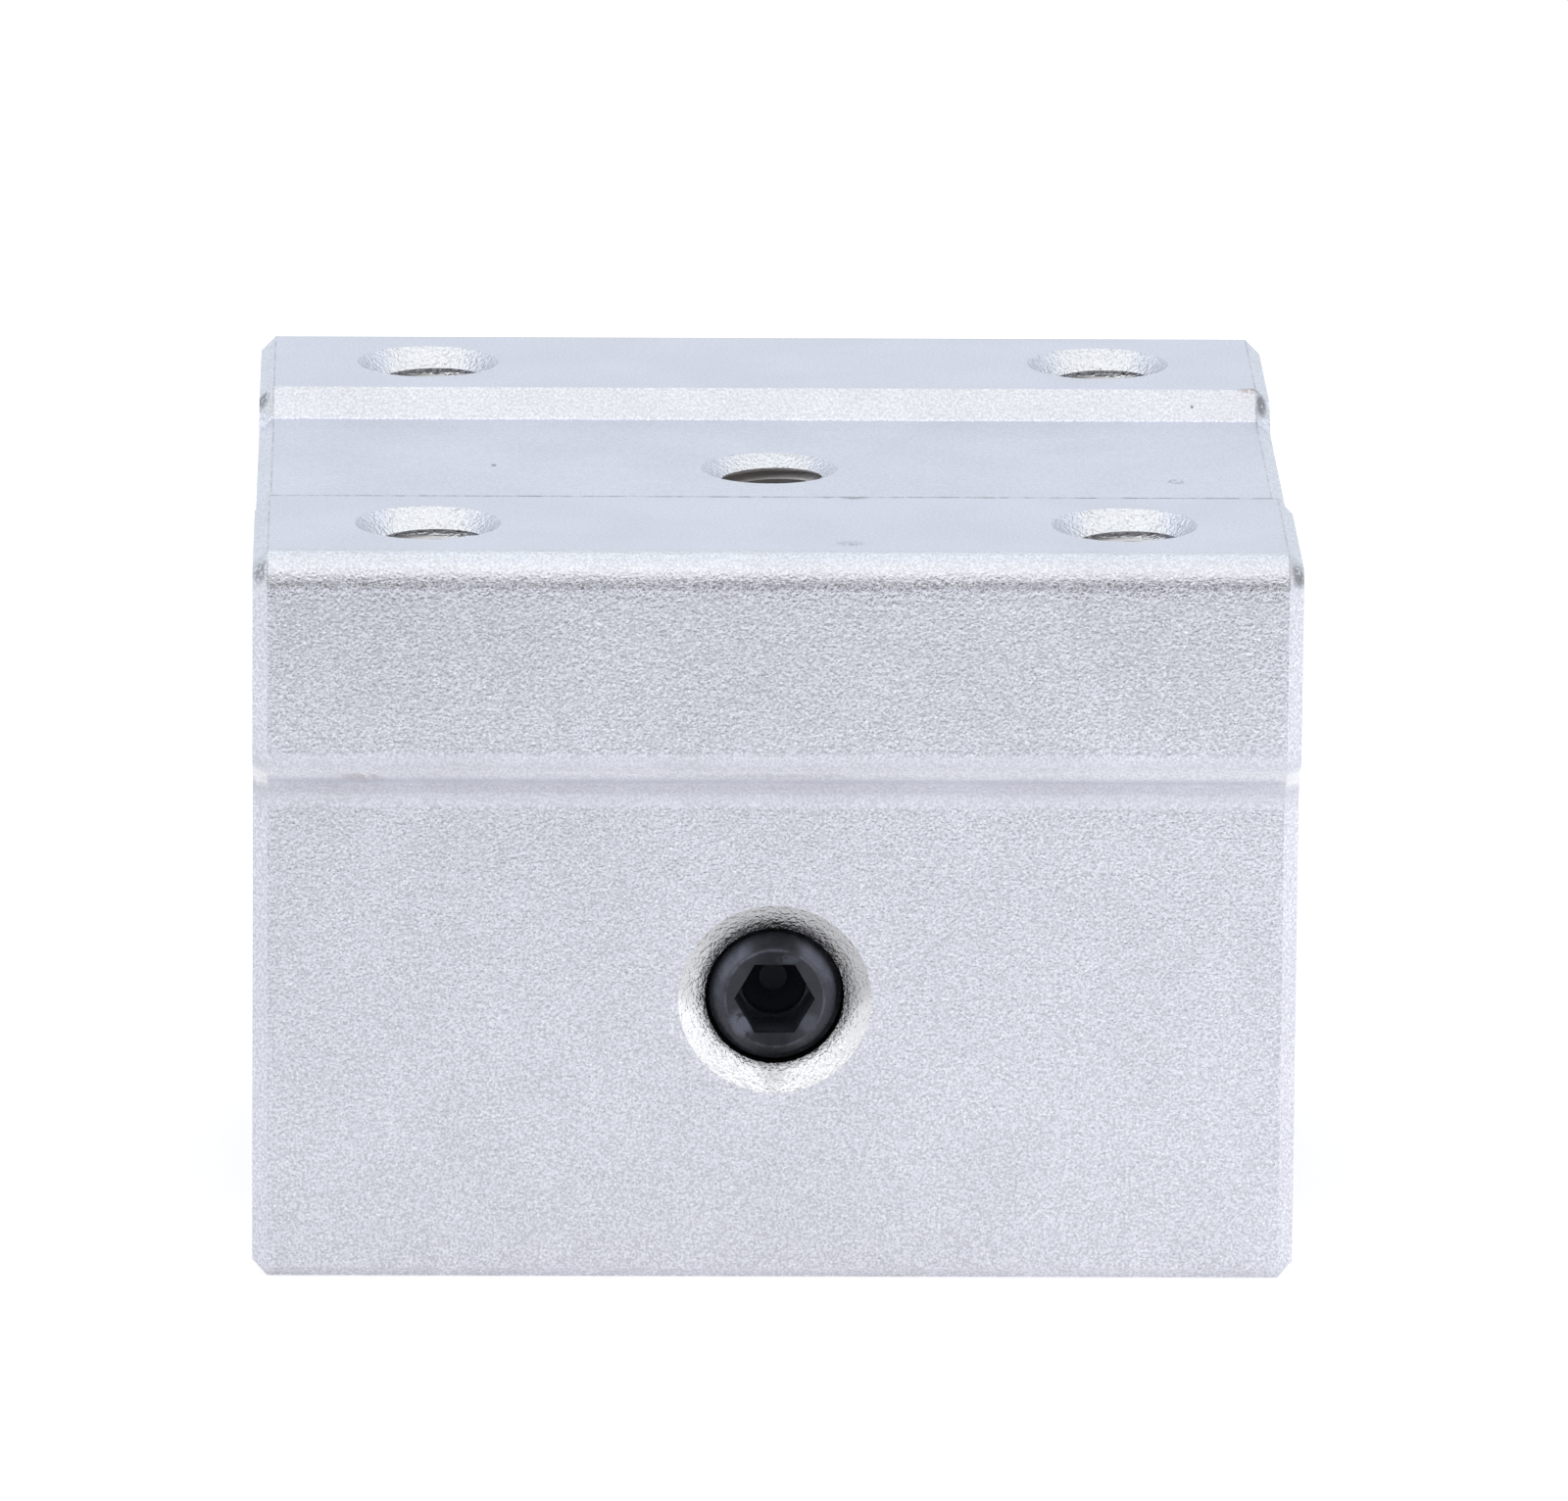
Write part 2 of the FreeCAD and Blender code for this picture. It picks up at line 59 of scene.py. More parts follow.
# Places on the housing and the set screw that their finishes follow
STEP_MIDDLE = 9.9 * MM
STEP_HEIGHT = 3.3 * MM
END_CHAMFER = 0.65 * MM
PAD_INNER_EDGE = 10.75 * MM
GROOVE_DEPTH = 1.2 * MM
SCREW_HOLE_RADIUS = 3.0 * MM
SCREW_SINK_RADIUS = 4.15 * MM
BOLT_SINK_RADIUS = 3.15 * MM
GREASE_SINK_RADIUS = 3.0 * MM
SINK_BLEND = 0.03 * MM              # over which a countersink's finish gives way to the blasting
TOP_HOLES_ABOVE = 5 * MM            # the holes in the top lie higher than this, the screw's hole lower
THREADS_BELOW_PADS = 1.10 * MM
GREASE_THREADS_LOWER = 0.65 * MM
SOCKET_DEPTH = 2.7 * MM
SOCKET_RADIUS = 2.0 * MM            # of a circle that holds the whole socket
WEAR_AND_HIGHLIGHT_RADIUS = 2.42 * MM           # middle of the face's bevel, lightened by wear and a painted highlight
LIP_RADIUS = 2.14 * MM              # edge between the flat face and its bevel

# Shaping of the meshes
MERGE_DISTANCE = 0.002 * MM
FLAT_ANGLE = math.radians(0.2)
SMOOTH_ANGLE = math.radians(24)     # for bevel and shading alike, so that no edge falls between them
SCREW_EDGE_ANGLE = math.radians(35)
SCREW_EDGE_BREAK = 0.05 * MM
TOP_THREAD_RELIEF = 0.42 * MM
SCREW_THREAD_RELIEF = 0.55 * MM
THREAD_OVERLAP = 0.08 * MM          # how far a cutter's foot stands in the open
THREAD_WIDTH = 0.80                 # of its pitch
GREASE_THREAD_LENGTH = 5.6 * MM
SCREW_THREAD_LEAD_IN = 0.3 * MM
SCREW_THREAD_OVERRUN = 0.8 * MM
TRIANGLE_HEIGHT = 1.5               # of a triangle with corners on a circle of radius 1
TRIANGLE_SIDE = math.sqrt(3)

# Dents, dirt and oil: middle and half sizes in mm, grain in mm, cover, colour and strength
STAINS = (
    ((-22.3, 10.9, 19.2), (0.5, 0.6, 0.9), 0.22, 0.8, (0.10, 0.10, 0.12), 0.65),
    ((22.1, 10.4, 19.4), (0.35, 0.9, 0.8), 0.15, 1.0, (0.10, 0.09, 0.10), 0.70),
    ((21.7, 10.8, 20.0), (0.9, 0.3, 0.3), 0.25, 0.8, (0.28, 0.20, 0.17), 0.60),
    ((-22.2, -22.0, 19.3), (0.5, 0.7, 0.8), 0.20, 0.7, (0.12, 0.12, 0.14), 0.60),
    ((22.3, -22.0, 19.3), (0.5, 0.7, 0.9), 0.20, 0.8, (0.12, 0.11, 0.11), 0.70),
    ((3.5, -10.9, 20.0), (0.8, 0.5, 0.3), 0.22, 0.7, (0.22, 0.23, 0.27), 0.80),
    ((2.3, -10.9, 20.0), (0.3, 0.3, 0.3), 0.15, 0.9, (0.30, 0.31, 0.36), 0.70),
    ((3.1, -19.7, 20.0), (0.8, 0.6, 0.3), 0.18, 0.6, (0.26, 0.27, 0.32), 0.60),
    ((-12.1, 0.4, 18.8), (0.16, 0.35, 0.2), 0.10, 1.1, (0.20, 0.20, 0.24), 0.80),
    ((17.8, -2.4, 18.8), (0.5, 0.7, 0.3), 0.20, 0.5, (0.22, 0.23, 0.27), 0.70),
    ((19.0, 10.1, 19.35), (0.09, 0.12, 0.12), 0.10, 1.2, (0.12, 0.12, 0.14), 0.80),
    ((-17.8, -21.8, 10.1), (1.3, 1.2, 0.5), 0.60, 0.7, (0.42, 0.33, 0.28), 0.35),
)

# Rubbed spots on the set screw's face: place and half sizes in mm to the right and up, and strength
RUBBED_SPOTS = (
    ((-1.45, -1.15), (0.75, 0.85), 0.9),
    ((1.5, -1.1), (0.6, 0.6), 0.45),
    ((0.6, 1.75), (0.7, 0.3), 0.35),
)

# The blasting. Sizes of its noises are shares of the grain.
FLECK_SIZE, PAINTED_GLINT_SIZE, GRIT_SIZE, CREASE_SIZE = 0.65, 0.55, 0.6, 0.95
CLOUD_SIZE = 5 * MM
CLOUD_TONES = (0.97, 1.02)
DARK_FLECKS = (0.83, 0.90)          # tones where the finish is rough and where it is quiet
LIGHT_FLECKS = (1.15, 1.03)
# Painted glints: rare grains made lighter by this tone
PAINTED_GLINT_TONE = 1.25
GRAIN_DEPTH = 0.031 * MM
GRAIN_LEFT_BY_CUTTING = 0.22
CREASE_DEPTH = 0.125 * MM
BLASTED_ROUGHNESS, MILLED_ROUGHNESS, CREASED_ROUGHNESS = 0.32, 0.40, 0.20
MILLED_FACING = (0.93, 0.99)        # upward part of the normal where a face begins to count as milled
STEP_OUTSIDE = (19 * MM, 20 * MM)   # from the middle plane
ROUNDED_FROM_SIDE = (1.7 * MM, 1.1 * MM)
ROUNDED_FROM_TOP = (2.3 * MM, 1.5 * MM)
UPPER_FROM_TOP = (1.6 * MM, 0.7 * MM)
# Painted shade over the step under the flange and at its foot, and painted light in its hollow
STEP_PAINTED_SHADE = (0.94, 0.94, 0.94, 1)
HOLLOW_PAINTED_LIGHT = (1.30, 1.29, 1.22, 1)
FOOT_PAINTED_SHADE = (0.92, 0.92, 0.93, 1)
# Darker and yellower over the top of the rounded edge and the groove's slopes
UPPER_TINT = (0.95, 0.945, 0.905, 1)

# Tones of the cut places, with painted light and shade in the countersinks, and of the marks on the housing
# and the painted shade with oil round the set screw's hole
SHADED_SINK_ENDS = (1.4 * MM, 2.2 * MM)     # beside a top hole's middle, where painted shade darkens its countersink's ends
SHADED_SINK_END_TONE = 0.95
THREAD_COLOUR = (0.60, 0.58, 0.57, 1)
PAINTED_LIGHT_SLANT = 0.45                        # of the painted light in the set screw's countersink
# Ramps of painted light and shade in that countersink: start and end, and the tone at each
SINK_PAINTED_LIGHT_UPWARDS = (-1.8 * MM, 3.4 * MM, 1.22, 1.06)
SINK_PAINTED_SHADE_TO_LOW_SIDES = (3.4 * MM, 4.6 * MM, 0.70, 1.0)
SINK_PAINTED_LIGHT_FROM_LEFT = (-3.5 * MM, -2.4 * MM, 1.10, 1.0)
SINK_BEHIND_FRONT = (4 * MM, 5 * MM)    # depths over which its finish ends
# Painted shade with oil round the set screw's hole, spreading wider upwards
SHADE_AND_OIL_SLANT = 0.5
SHADE_AND_OIL_SPREAD = (0.25 * MM, 0.85 * MM)
SHADE_AND_OIL_STRENGTH = 0.93
EDGE_STRENGTH = 0.85
END_EDGE_STRENGTH = 0.45
EDGE_COLOUR = (0.16, 0.16, 0.18, 1)
# Near-black and brown of the painted shade with oil round the set screw's hole
SHADE_AND_FRESH_OIL = (0.045, 0.043, 0.046, 1)
SHADE_AND_OLD_OIL = (0.085, 0.060, 0.040, 1)

# The set screw's finish
WEAR_AND_HIGHLIGHT_TONE, SOCKET_PAINTED_LIGHT_TONE = 8.5, 2.4  # times the black's own: wear and painted highlights round the face, and painted light in the socket
SCREW_SHINE = (0.24, 0.52)          # near the upright through its middle, and to either side
SCREW_SHINE_TINT = (0.88, 0.91, 1.0, 1)
SCREW_ROUGHNESS = (0.24, 0.36)
FINE_GRAIN_DEPTH = 0.006 * MM       # also on the rings

# Stage
FLOOR_RADIUS = 0.25
FLOOR_SIDES = 96
FLOOR_LIFT = 0.68                   # light that the floor gives to rays that see it directly
FLOOR_PAINTED_TILT = (-0.22, -0.02)         # painted light added to it for glossy rays, from far left to far right; metal sees the floor darker to the left
FLOOR_TILT_REACH = 60 * MM
SOFTBOX_SIZE = (0.5, 0.4)
SOFTBOX_PLACE = (-0.12, -0.16, 0.60)
SENSOR_WIDTH = 36.0
CLIP_END = 20.0
# Ramps of the sky's strength over the upward or rightward part of a direction: start and end, and the
# strength at each
SKY_RISE = (0.50, 0.72, 0.87, 1.30)
SKY_LOSS_OVERHEAD = (0.84, 0.97, 0.0, 0.17)
SKY_GAIN_RIGHT = (0.50, 0.90, 0.0, 0.14)
SKY_GAIN_LEFT = (-0.8, -0.45, 0.10, 0.0)
# Brighter patches of the sky: azimuth from the front, elevation, strength, and where each is full and fades
SKY_PATCHES = (
    (50, 36, 0.45, 7, 14),
    (-46, 36, 0.35, 7, 14),
    (80, 35, 0.35, 6, 18),
    (-80, 35, 0.45, 6, 18),
)
DARK_PATCH = (0, 1.5, 13.5, 20)     # low in front: azimuth, elevation, full and fade
DARK_SHARE = 0.95
FRONT_TINT = (0.97, 0.985, 1.0, 1)
BACK_TINT = (0.96, 1.015, 1.065, 1)
TINT_TURN = (-0.2, 0.5)             # backward part of a direction between the two tints

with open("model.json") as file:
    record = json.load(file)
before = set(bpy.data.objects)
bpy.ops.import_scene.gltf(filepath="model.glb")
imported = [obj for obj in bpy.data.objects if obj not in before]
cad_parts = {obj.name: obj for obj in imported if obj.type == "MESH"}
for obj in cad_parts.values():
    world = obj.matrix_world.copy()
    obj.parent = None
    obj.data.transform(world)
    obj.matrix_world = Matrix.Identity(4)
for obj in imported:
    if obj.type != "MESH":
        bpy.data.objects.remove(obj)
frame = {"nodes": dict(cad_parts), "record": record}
cad_bounds = [list(corner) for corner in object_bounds()]
block_low, block_high = (Vector(corner) for corner in cad_bounds)
mounts = {mount["name"]: mount for mount in frame["record"]["mounts"]}
GROOVE_FLOOR = block_high.z - GROOVE_DEPTH


# ---- Sizes and colours that a user may change

class BlockSizes(PropertyGroup):
    edge_break: FloatProperty(
        name="Edge break", description="Width of the rounding on the housing's sharp edges",
        default=0.07 * MM, min=0.0, unit="LENGTH", precision=6)
    top_thread_pitch: FloatProperty(
        name="Top thread pitch", description="Pitch of the threads in the top of the housing",
        default=0.8 * MM, min=0.2 * MM, unit="LENGTH", precision=6)
    screw_thread_pitch: FloatProperty(
        name="Set screw pitch", description="Pitch of the set screw's thread",
        default=1.0 * MM, min=0.2 * MM, unit="LENGTH", precision=6)
    top_thread_depth: FloatProperty(
        name="Threaded depth", description="Length of thread in each blind hole, from the pads down",
        default=10.2 * MM, min=1 * MM, unit="LENGTH", precision=6)
    bolt_thread_start: FloatProperty(
        name="Bolt thread start",
        description="Depth below the pads where a thread runs out into the countersink",
        default=0.75 * MM, min=0.0, unit="LENGTH", precision=6)
    grease_thread_start: FloatProperty(
        name="Grease thread start", description="The same for the middle hole, below the groove's floor",
        default=0.50 * MM, min=0.0, unit="LENGTH", precision=6)
    thread_steps: IntProperty(
        name="Thread steps", description="Steps in each turn of a thread",
        default=40, min=12, max=96)
    grain: FloatProperty(
        name="Blasting grain", description="Size of the pits that the blasting leaves",
        default=0.18 * MM, min=0.02 * MM, unit="LENGTH", precision=6)


class BlockColours(PropertyGroup):
    aluminium: FloatVectorProperty(
        name="Blasted aluminium", description="Housing",
        default=(0.712, 0.719, 0.790), subtype="COLOR", min=0.0, max=1.0)
    cut_aluminium: FloatVectorProperty(
        name="Cut aluminium", description="Countersinks, cut after the blasting",
        default=(0.720, 0.720, 0.735), subtype="COLOR", min=0.0, max=1.0)
    black_oxide: FloatVectorProperty(
        name="Black oxide", description="Set screw",
        default=(0.016, 0.017, 0.022), subtype="COLOR", min=0.0, max=1.0)
    sleeve: FloatVectorProperty(
        name="Ground steel", description="Bearing sleeve",
        default=(0.56, 0.57, 0.58), subtype="COLOR", min=0.0, max=1.0)
    balls: FloatVectorProperty(
        name="Polished steel", description="Balls",
        default=(0.75, 0.76, 0.78), subtype="COLOR", min=0.0, max=1.0)
    rings: FloatVectorProperty(
        name="Phosphated steel", description="Snap rings and cage rings",
        default=(0.085, 0.085, 0.092), subtype="COLOR", min=0.0, max=1.0)
    cage: FloatVectorProperty(
        name="Cage resin", description="Ball cage",
        default=(0.030, 0.030, 0.032), subtype="COLOR", min=0.0, max=1.0)
    seals: FloatVectorProperty(
        name="Seal rubber", description="Seals",
        default=(0.018, 0.018, 0.019), subtype="COLOR", min=0.0, max=1.0)


class BlockStudio(PropertyGroup):
    camera_place: FloatVectorProperty(
        name="Camera place", description="Where the camera stands",
        default=(-0.01555, -0.76599, 0.19365), subtype="XYZ", unit="LENGTH")
    camera_yaw: FloatProperty(
        name="Camera yaw", description="Turn of the camera to the right of square on",
        default=math.radians(1.219), subtype="ANGLE")
    camera_pitch: FloatProperty(
        name="Camera pitch", description="Tilt of the camera below level",
        default=math.radians(13.76), subtype="ANGLE")
    camera_roll: FloatProperty(
        name="Camera roll", description="Roll of the camera",
        default=math.radians(-0.468), subtype="ANGLE")
    lens: FloatProperty(
        name="Lens", description="Focal length in millimetres, on a sensor 36 mm wide",
        default=410.56, min=20.0)
    floor_colour: FloatVectorProperty(
        name="Floor", description="Colour of the floor",
        default=(0.45, 0.45, 0.45), subtype="COLOR", min=0.0, max=1.0)
    sky_level: FloatProperty(
        name="Sky level", description="Strength of the light from all round",
        default=1.0, min=0.0)
    softbox_power: FloatProperty(
        name="Softbox", description="Power of the lamp overhead, in watts",
        default=0.10, min=0.0)


# ---- Helpers for meshes

def select_only(piece):
    """Deselects everything, then selects one object and makes it active."""
    bpy.ops.object.select_all(action="DESELECT")
    piece.select_set(True)
    bpy.context.view_layer.objects.active = piece


def copy_of_node(node, name):
    """A merged copy of a CAD node's mesh, as a new piece."""
    piece = bpy.data.objects.new(name, frame["nodes"][node].data.copy())
    bpy.context.scene.collection.objects.link(piece)
    piece.data.name = name
    piece.data.materials.clear()
    select_only(piece)
    bpy.ops.mesh.customdata_custom_splitnormals_clear()
    bpy.ops.object.mode_set(mode="EDIT")
    bpy.ops.mesh.select_mode(type="VERT")
    bpy.ops.mesh.select_all(action="SELECT")
    bpy.ops.mesh.remove_doubles(threshold=MERGE_DISTANCE)
    bpy.ops.mesh.dissolve_limited(angle_limit=FLAT_ANGLE)
    bpy.ops.object.mode_set(mode="OBJECT")
    return piece


def apply_modifier(piece, kind, **settings):
    """Adds a modifier, sets it and applies it."""
    select_only(piece)
    modifier = piece.modifiers.new(kind.title(), kind)
    for key, value in settings.items():
        setattr(modifier, key, value)
    bpy.ops.object.modifier_apply(modifier=modifier.name)


def smooth(piece):
    """Smooth shading with sharp edges kept, led by the larger faces."""
    select_only(piece)
    bpy.ops.object.shade_smooth_by_angle(angle=SMOOTH_ANGLE)
    apply_modifier(piece, "WEIGHTED_NORMAL", keep_sharp=True, weight=60)


def thread_cutter(name, mouth, axis, wall_radius, tip_radius, pitch, length, steps):
    """A ridge of V section wound round an axis, from its mouth down. Its tip is at the tip radius."""
    bpy.ops.object.select_all(action="DESELECT")
    outwards = 1 if tip_radius > wall_radius else -1
    height = abs(tip_radius - wall_radius) + THREAD_OVERLAP
    corner_radius = height / TRIANGLE_HEIGHT
    bpy.ops.mesh.primitive_circle_add(
        vertices=3, radius=corner_radius, fill_type="NOTHING",
        location=(tip_radius - outwards * corner_radius, 0, 0),
        rotation=(math.pi / 2, outwards * math.pi / 2, 0))
    cutter = bpy.context.object
    cutter.name = name
    bpy.ops.object.transform_apply(location=True, rotation=True, scale=True)
    bpy.ops.object.mode_set(mode="EDIT")
    bpy.ops.mesh.select_all(action="SELECT")
    width = corner_radius * TRIANGLE_SIDE
    bpy.ops.transform.resize(value=(1, 1, THREAD_WIDTH * pitch / width), center_override=(0, 0, 0))
    bpy.ops.object.mode_set(mode="OBJECT")
    apply_modifier(cutter, "SCREW", axis="Z", angle=math.tau, screw_offset=-pitch,
                   iterations=round(length / pitch), steps=steps, render_steps=steps,
                   use_smooth_shade=False)
    bpy.ops.object.mode_set(mode="EDIT")
    bpy.ops.mesh.select_mode(type="EDGE")
    bpy.ops.mesh.select_all(action="DESELECT")
    bpy.ops.mesh.select_non_manifold()
    bpy.ops.mesh.edge_face_add()
    bpy.ops.mesh.select_all(action="SELECT")
    bpy.ops.mesh.normals_make_consistent(inside=False)
    bpy.ops.object.mode_set(mode="OBJECT")
    cutter.rotation_mode = "QUATERNION"
    cutter.rotation_quaternion = Vector((0, 0, -1)).rotation_difference(axis)
    cutter.location = mouth
    bpy.ops.object.transform_apply(location=True, rotation=True, scale=True)
    return cutter


def cut_away(piece, cutter):
    """Takes the cutter's space out of the piece."""
    apply_modifier(piece, "BOOLEAN", operation="DIFFERENCE", solver="EXACT", object=cutter)
    bpy.data.objects.remove(cutter)


# ---- Helpers for materials

def set_input(tree, made, key, value):
    """Sets a socket to a value, or links another node's output to it."""
    if isinstance(value, bpy.types.NodeSocket):
        tree.links.new(value, made.inputs[key])
    else:
        made.inputs[key].default_value = value


def node(tree, kind, inputs=None, **settings):
    """Adds a shader node with its settings and its inputs."""
    made = tree.nodes.new("ShaderNode" + kind)
    for key, value in settings.items():
        setattr(made, key, value)
    for key, value in (inputs or {}).items():
        set_input(tree, made, key, value)
    return made


def maths(tree, operation, first, second=0.0, clamp=False):
    """One Math node."""
    return node(tree, "Math", {0: first, 1: second}, operation=operation, use_clamp=clamp).outputs[0]


def product(tree, first, *others):
    """The first factor times each of the others in turn."""
    for other in others:
        first = maths(tree, "MULTIPLY", first, other)
    return first


def largest(tree, first, *others):
    """The largest of the shares given."""
    for other in others:
        first = maths(tree, "MAXIMUM", first, other)
    return first


def without(tree, whole, part):
    """What is left of a share when another is taken from it."""
    return maths(tree, "SUBTRACT", whole, part)


def noise(tree, place, size, detail=2.0, roughness=0.5, distortion=0.0):
    """Noise from 0 to 1 with features of about the given size in metres."""
    made = node(tree, "TexNoise", {"Vector": place, "Scale": 1 / size, "Detail": detail,
                                   "Roughness": roughness, "Distortion": distortion})
    return made.outputs["Fac"]


def ramp(tree, value, low, high, from_value=0.0, to_value=1.0):
    """Runs from one value to another as the input goes from low to high."""
    made = node(tree, "MapRange", {"Value": value, "From Min": low, "From Max": high,
                                   "To Min": from_value, "To Max": to_value}, interpolation_type="SMOOTHSTEP")
    return made.outputs[0]


def band(tree, value, middle, half_width, full=0.6, fade=1.2):
    """1 about the middle of a band and 0 outside it, full and faded at these shares of its half width."""
    off = maths(tree, "ABSOLUTE", maths(tree, "SUBTRACT", value, middle))
    return ramp(tree, off, half_width * full, half_width * fade, 1.0, 0.0)


def mix_colour(tree, share, first, second, blend="MIX"):
    """Two colours mixed, or blended another way, by a share."""
    made = node(tree, "Mix", data_type="RGBA", blend_type=blend)
    set_input(tree, made, 0, share)
    set_input(tree, made, 6, first)
    set_input(tree, made, 7, second)
    return made.outputs[2]


def bump(tree, height, distance, strength=1.0, normal=None):
    """One Bump node, over another one's normal if there is one."""
    inputs = {"Height": height, "Distance": distance, "Strength": strength}
    if normal is not None:
        inputs["Normal"] = normal
    return node(tree, "Bump", inputs).outputs[0]


def opaque(colour):
    """A colour with its alpha."""
    return (*colour, 1.0)


def scaled(colour, factor):
    """A colour made lighter or darker, with its alpha."""
    return (*(min(1.0, channel * factor) for channel in colour), 1.0)


def clouded(tree, share, colour, dark, light):
    """A colour that runs from darker to lighter with a share."""
    return mix_colour(tree, share, scaled(colour, dark), scaled(colour, light))


def axes_of(tree, place):
    """The place along the shaft, across it and its height."""
    parts = node(tree, "SeparateXYZ", {0: place})
    return [parts.outputs[axis] for axis in "XYZ"]


def start_material(name):
    """An empty material with a principled shader. Returns material, node tree, shader and place."""
    material = bpy.data.materials.new(name)
    material.use_nodes = True
    tree = material.node_tree
    tree.nodes.clear()
    shader = node(tree, "BsdfPrincipled")
    output = node(tree, "OutputMaterial")
    tree.links.new(shader.outputs[0], output.inputs["Surface"])
    place = node(tree, "TexCoord").outputs["Object"]
    return material, tree, shader, place


def dress(tree, shader, tone, roughness, normal=None, metallic=0.0):
    """Gives a shader its colour, roughness, normal and metallic share."""
    inputs = {"Base Color": tone, "Roughness": roughness, "Metallic": metallic}
    if normal is not None:
        inputs["Normal"] = normal
    for key, value in inputs.items():
        set_input(tree, shader, key, value)


def paint(piece, material):
    """Gives every face of a piece one material."""
    if piece.data.materials:
        piece.data.materials[0] = material
    else:
        piece.data.materials.append(material)


# ---- Materials

def distance_from(tree, first, second):
    """How far a place is from an axis, from its two offsets."""
    squares = [product(tree, offset, offset) for offset in (first, second)]
    return maths(tree, "SQRT", maths(tree, "ADD", *squares))


def within(tree, off_axis, radius):
    """1 on a round place and 0 just outside it."""
    return ramp(tree, off_axis, radius, radius + SINK_BLEND, 1.0, 0.0)


def near_front(tree, across, full, fade):
    """1 as far as one depth behind the flange's front and 0 beyond another."""
    return ramp(tree, across, block_low.y + full, block_low.y + fade, 1.0, 0.0)


def in_the_top(tree, height):
    """1 at the holes in the top and 0 at the set screw's hole."""
    return ramp(tree, height, TOP_HOLES_ABOVE, TOP_HOLES_ABOVE + 1 * MM)


def cut_places(tree, along, across, height):
    """Shares of what was cut after the blasting: the top's holes, the screw's countersink and the threads."""
    bolts = mounts["top_bolts"]["dims"]
    beside = [without(tree, maths(tree, "ABSOLUTE", value), bolts[key] / 2 * MM)
              for value, key in ((along, "spacing_x_mm"), (across, "spacing_y_mm"))]
    bolt = within(tree, distance_from(tree, *beside), BOLT_SINK_RADIUS)
    grease = within(tree, distance_from(tree, along, across), GREASE_SINK_RADIUS)
    holes = product(tree, largest(tree, bolt, grease), in_the_top(tree, height))
    foot = maths(tree, "ADD", block_high.z - THREADS_BELOW_PADS, product(tree, grease, -GREASE_THREADS_LOWER))
    threads = product(tree, holes, maths(tree, "LESS_THAN", height, foot))
    screw = within(tree, distance_from(tree, along, height), SCREW_SINK_RADIUS)
    return holes, product(tree, screw, near_front(tree, across, *SINK_BEHIND_FRONT)), threads


def cut_tone(tree, colours, along, height, threads):
    """Painted light low down in the set screw's countersink and painted shade towards its top, painted shade
    at the ends of the others, and darker threads.
    """
    bolt_x = mounts["top_bolts"]["dims"]["spacing_x_mm"] / 2 * MM
    reach = maths(tree, "ABSOLUTE", along)
    beside_bolt = maths(tree, "ABSOLUTE", without(tree, reach, bolt_x))
    from_middle = maths(tree, "MINIMUM", reach, beside_bolt)
    # Painted shade at the ends of the top countersinks, which also take the blasted colour
    ends = ramp(tree, from_middle, *SHADED_SINK_ENDS)
    top = mix_colour(tree, ends, opaque(colours.cut_aluminium), scaled(colours.aluminium, SHADED_SINK_END_TONE))
    top = mix_colour(tree, threads, top, THREAD_COLOUR)
    # Painted light and shade in the set screw's countersink: lighter low down and to the left, darker towards
    # the top
    slanting = maths(tree, "ADD", height, product(tree, along, PAINTED_LIGHT_SLANT))
    share = product(tree,
                    ramp(tree, slanting, *SINK_PAINTED_LIGHT_UPWARDS),
                    ramp(tree, without(tree, reach, height), *SINK_PAINTED_SHADE_TO_LOW_SIDES),
                    ramp(tree, along, *SINK_PAINTED_LIGHT_FROM_LEFT))
    front = mix_colour(tree, 1.0, opaque(colours.cut_aluminium), share, "MULTIPLY")
    return mix_colour(tree, in_the_top(tree, height), front, top)


def housing_places(tree, sideways, height):
    """Shares of the milled faces, the step under the flange, the rounded edge and the groove's slopes."""
    facing = node(tree, "SeparateXYZ", {0: node(tree, "TexCoord").outputs["Normal"]}).outputs["Z"]
    milled = ramp(tree, facing, *MILLED_FACING)
    step = product(tree, band(tree, height, STEP_MIDDLE, STEP_HEIGHT / 2, 0.55, 1.10),
                   ramp(tree, sideways, *STEP_OUTSIDE))
    rounded = product(tree, ramp(tree, sideways, *(block_high.y - inwards for inwards in ROUNDED_FROM_SIDE)),
                      ramp(tree, height, *(block_high.z - down for down in ROUNDED_FROM_TOP)))
    slope = product(tree,
                    band(tree, sideways, PAD_INNER_EDGE - GROOVE_DEPTH / 2, GROOVE_DEPTH / 2, 0.95, 1.1),
                    ramp(tree, height, GROOVE_FLOOR, block_high.z - 0.9 * GROOVE_DEPTH),
                    without(tree, 1.0, milled))
    return milled, step, rounded, slope


def blasted_tone(tree, sizes, colour, place, quiet):
    """Clouds, flecks and painted glints, weaker where the finish is quiet."""
    clouds = noise(tree, place, CLOUD_SIZE, 3.0)
    fleck = noise(tree, place, sizes.grain * FLECK_SIZE, 1.0, 0.5, 0.3)
    # Painted glints: rare grains made lighter
    glints = ramp(tree, noise(tree, place, sizes.grain * PAINTED_GLINT_SIZE, 0.0), 0.64, 0.74, 1.0, PAINTED_GLINT_TONE)
    dark, light = (ramp(tree, quiet, 0.0, 1.0, *tones) for tones in (DARK_FLECKS, LIGHT_FLECKS))
    tone = clouded(tree, ramp(tree, clouds, 0.3, 0.7), colour, *CLOUD_TONES)
    tone = mix_colour(tree, 1.0, tone, ramp(tree, fleck, 0.32, 0.68, dark, light), "MULTIPLY")
    return mix_colour(tree, without(tree, 1.0, quiet), tone, glints, "MULTIPLY")


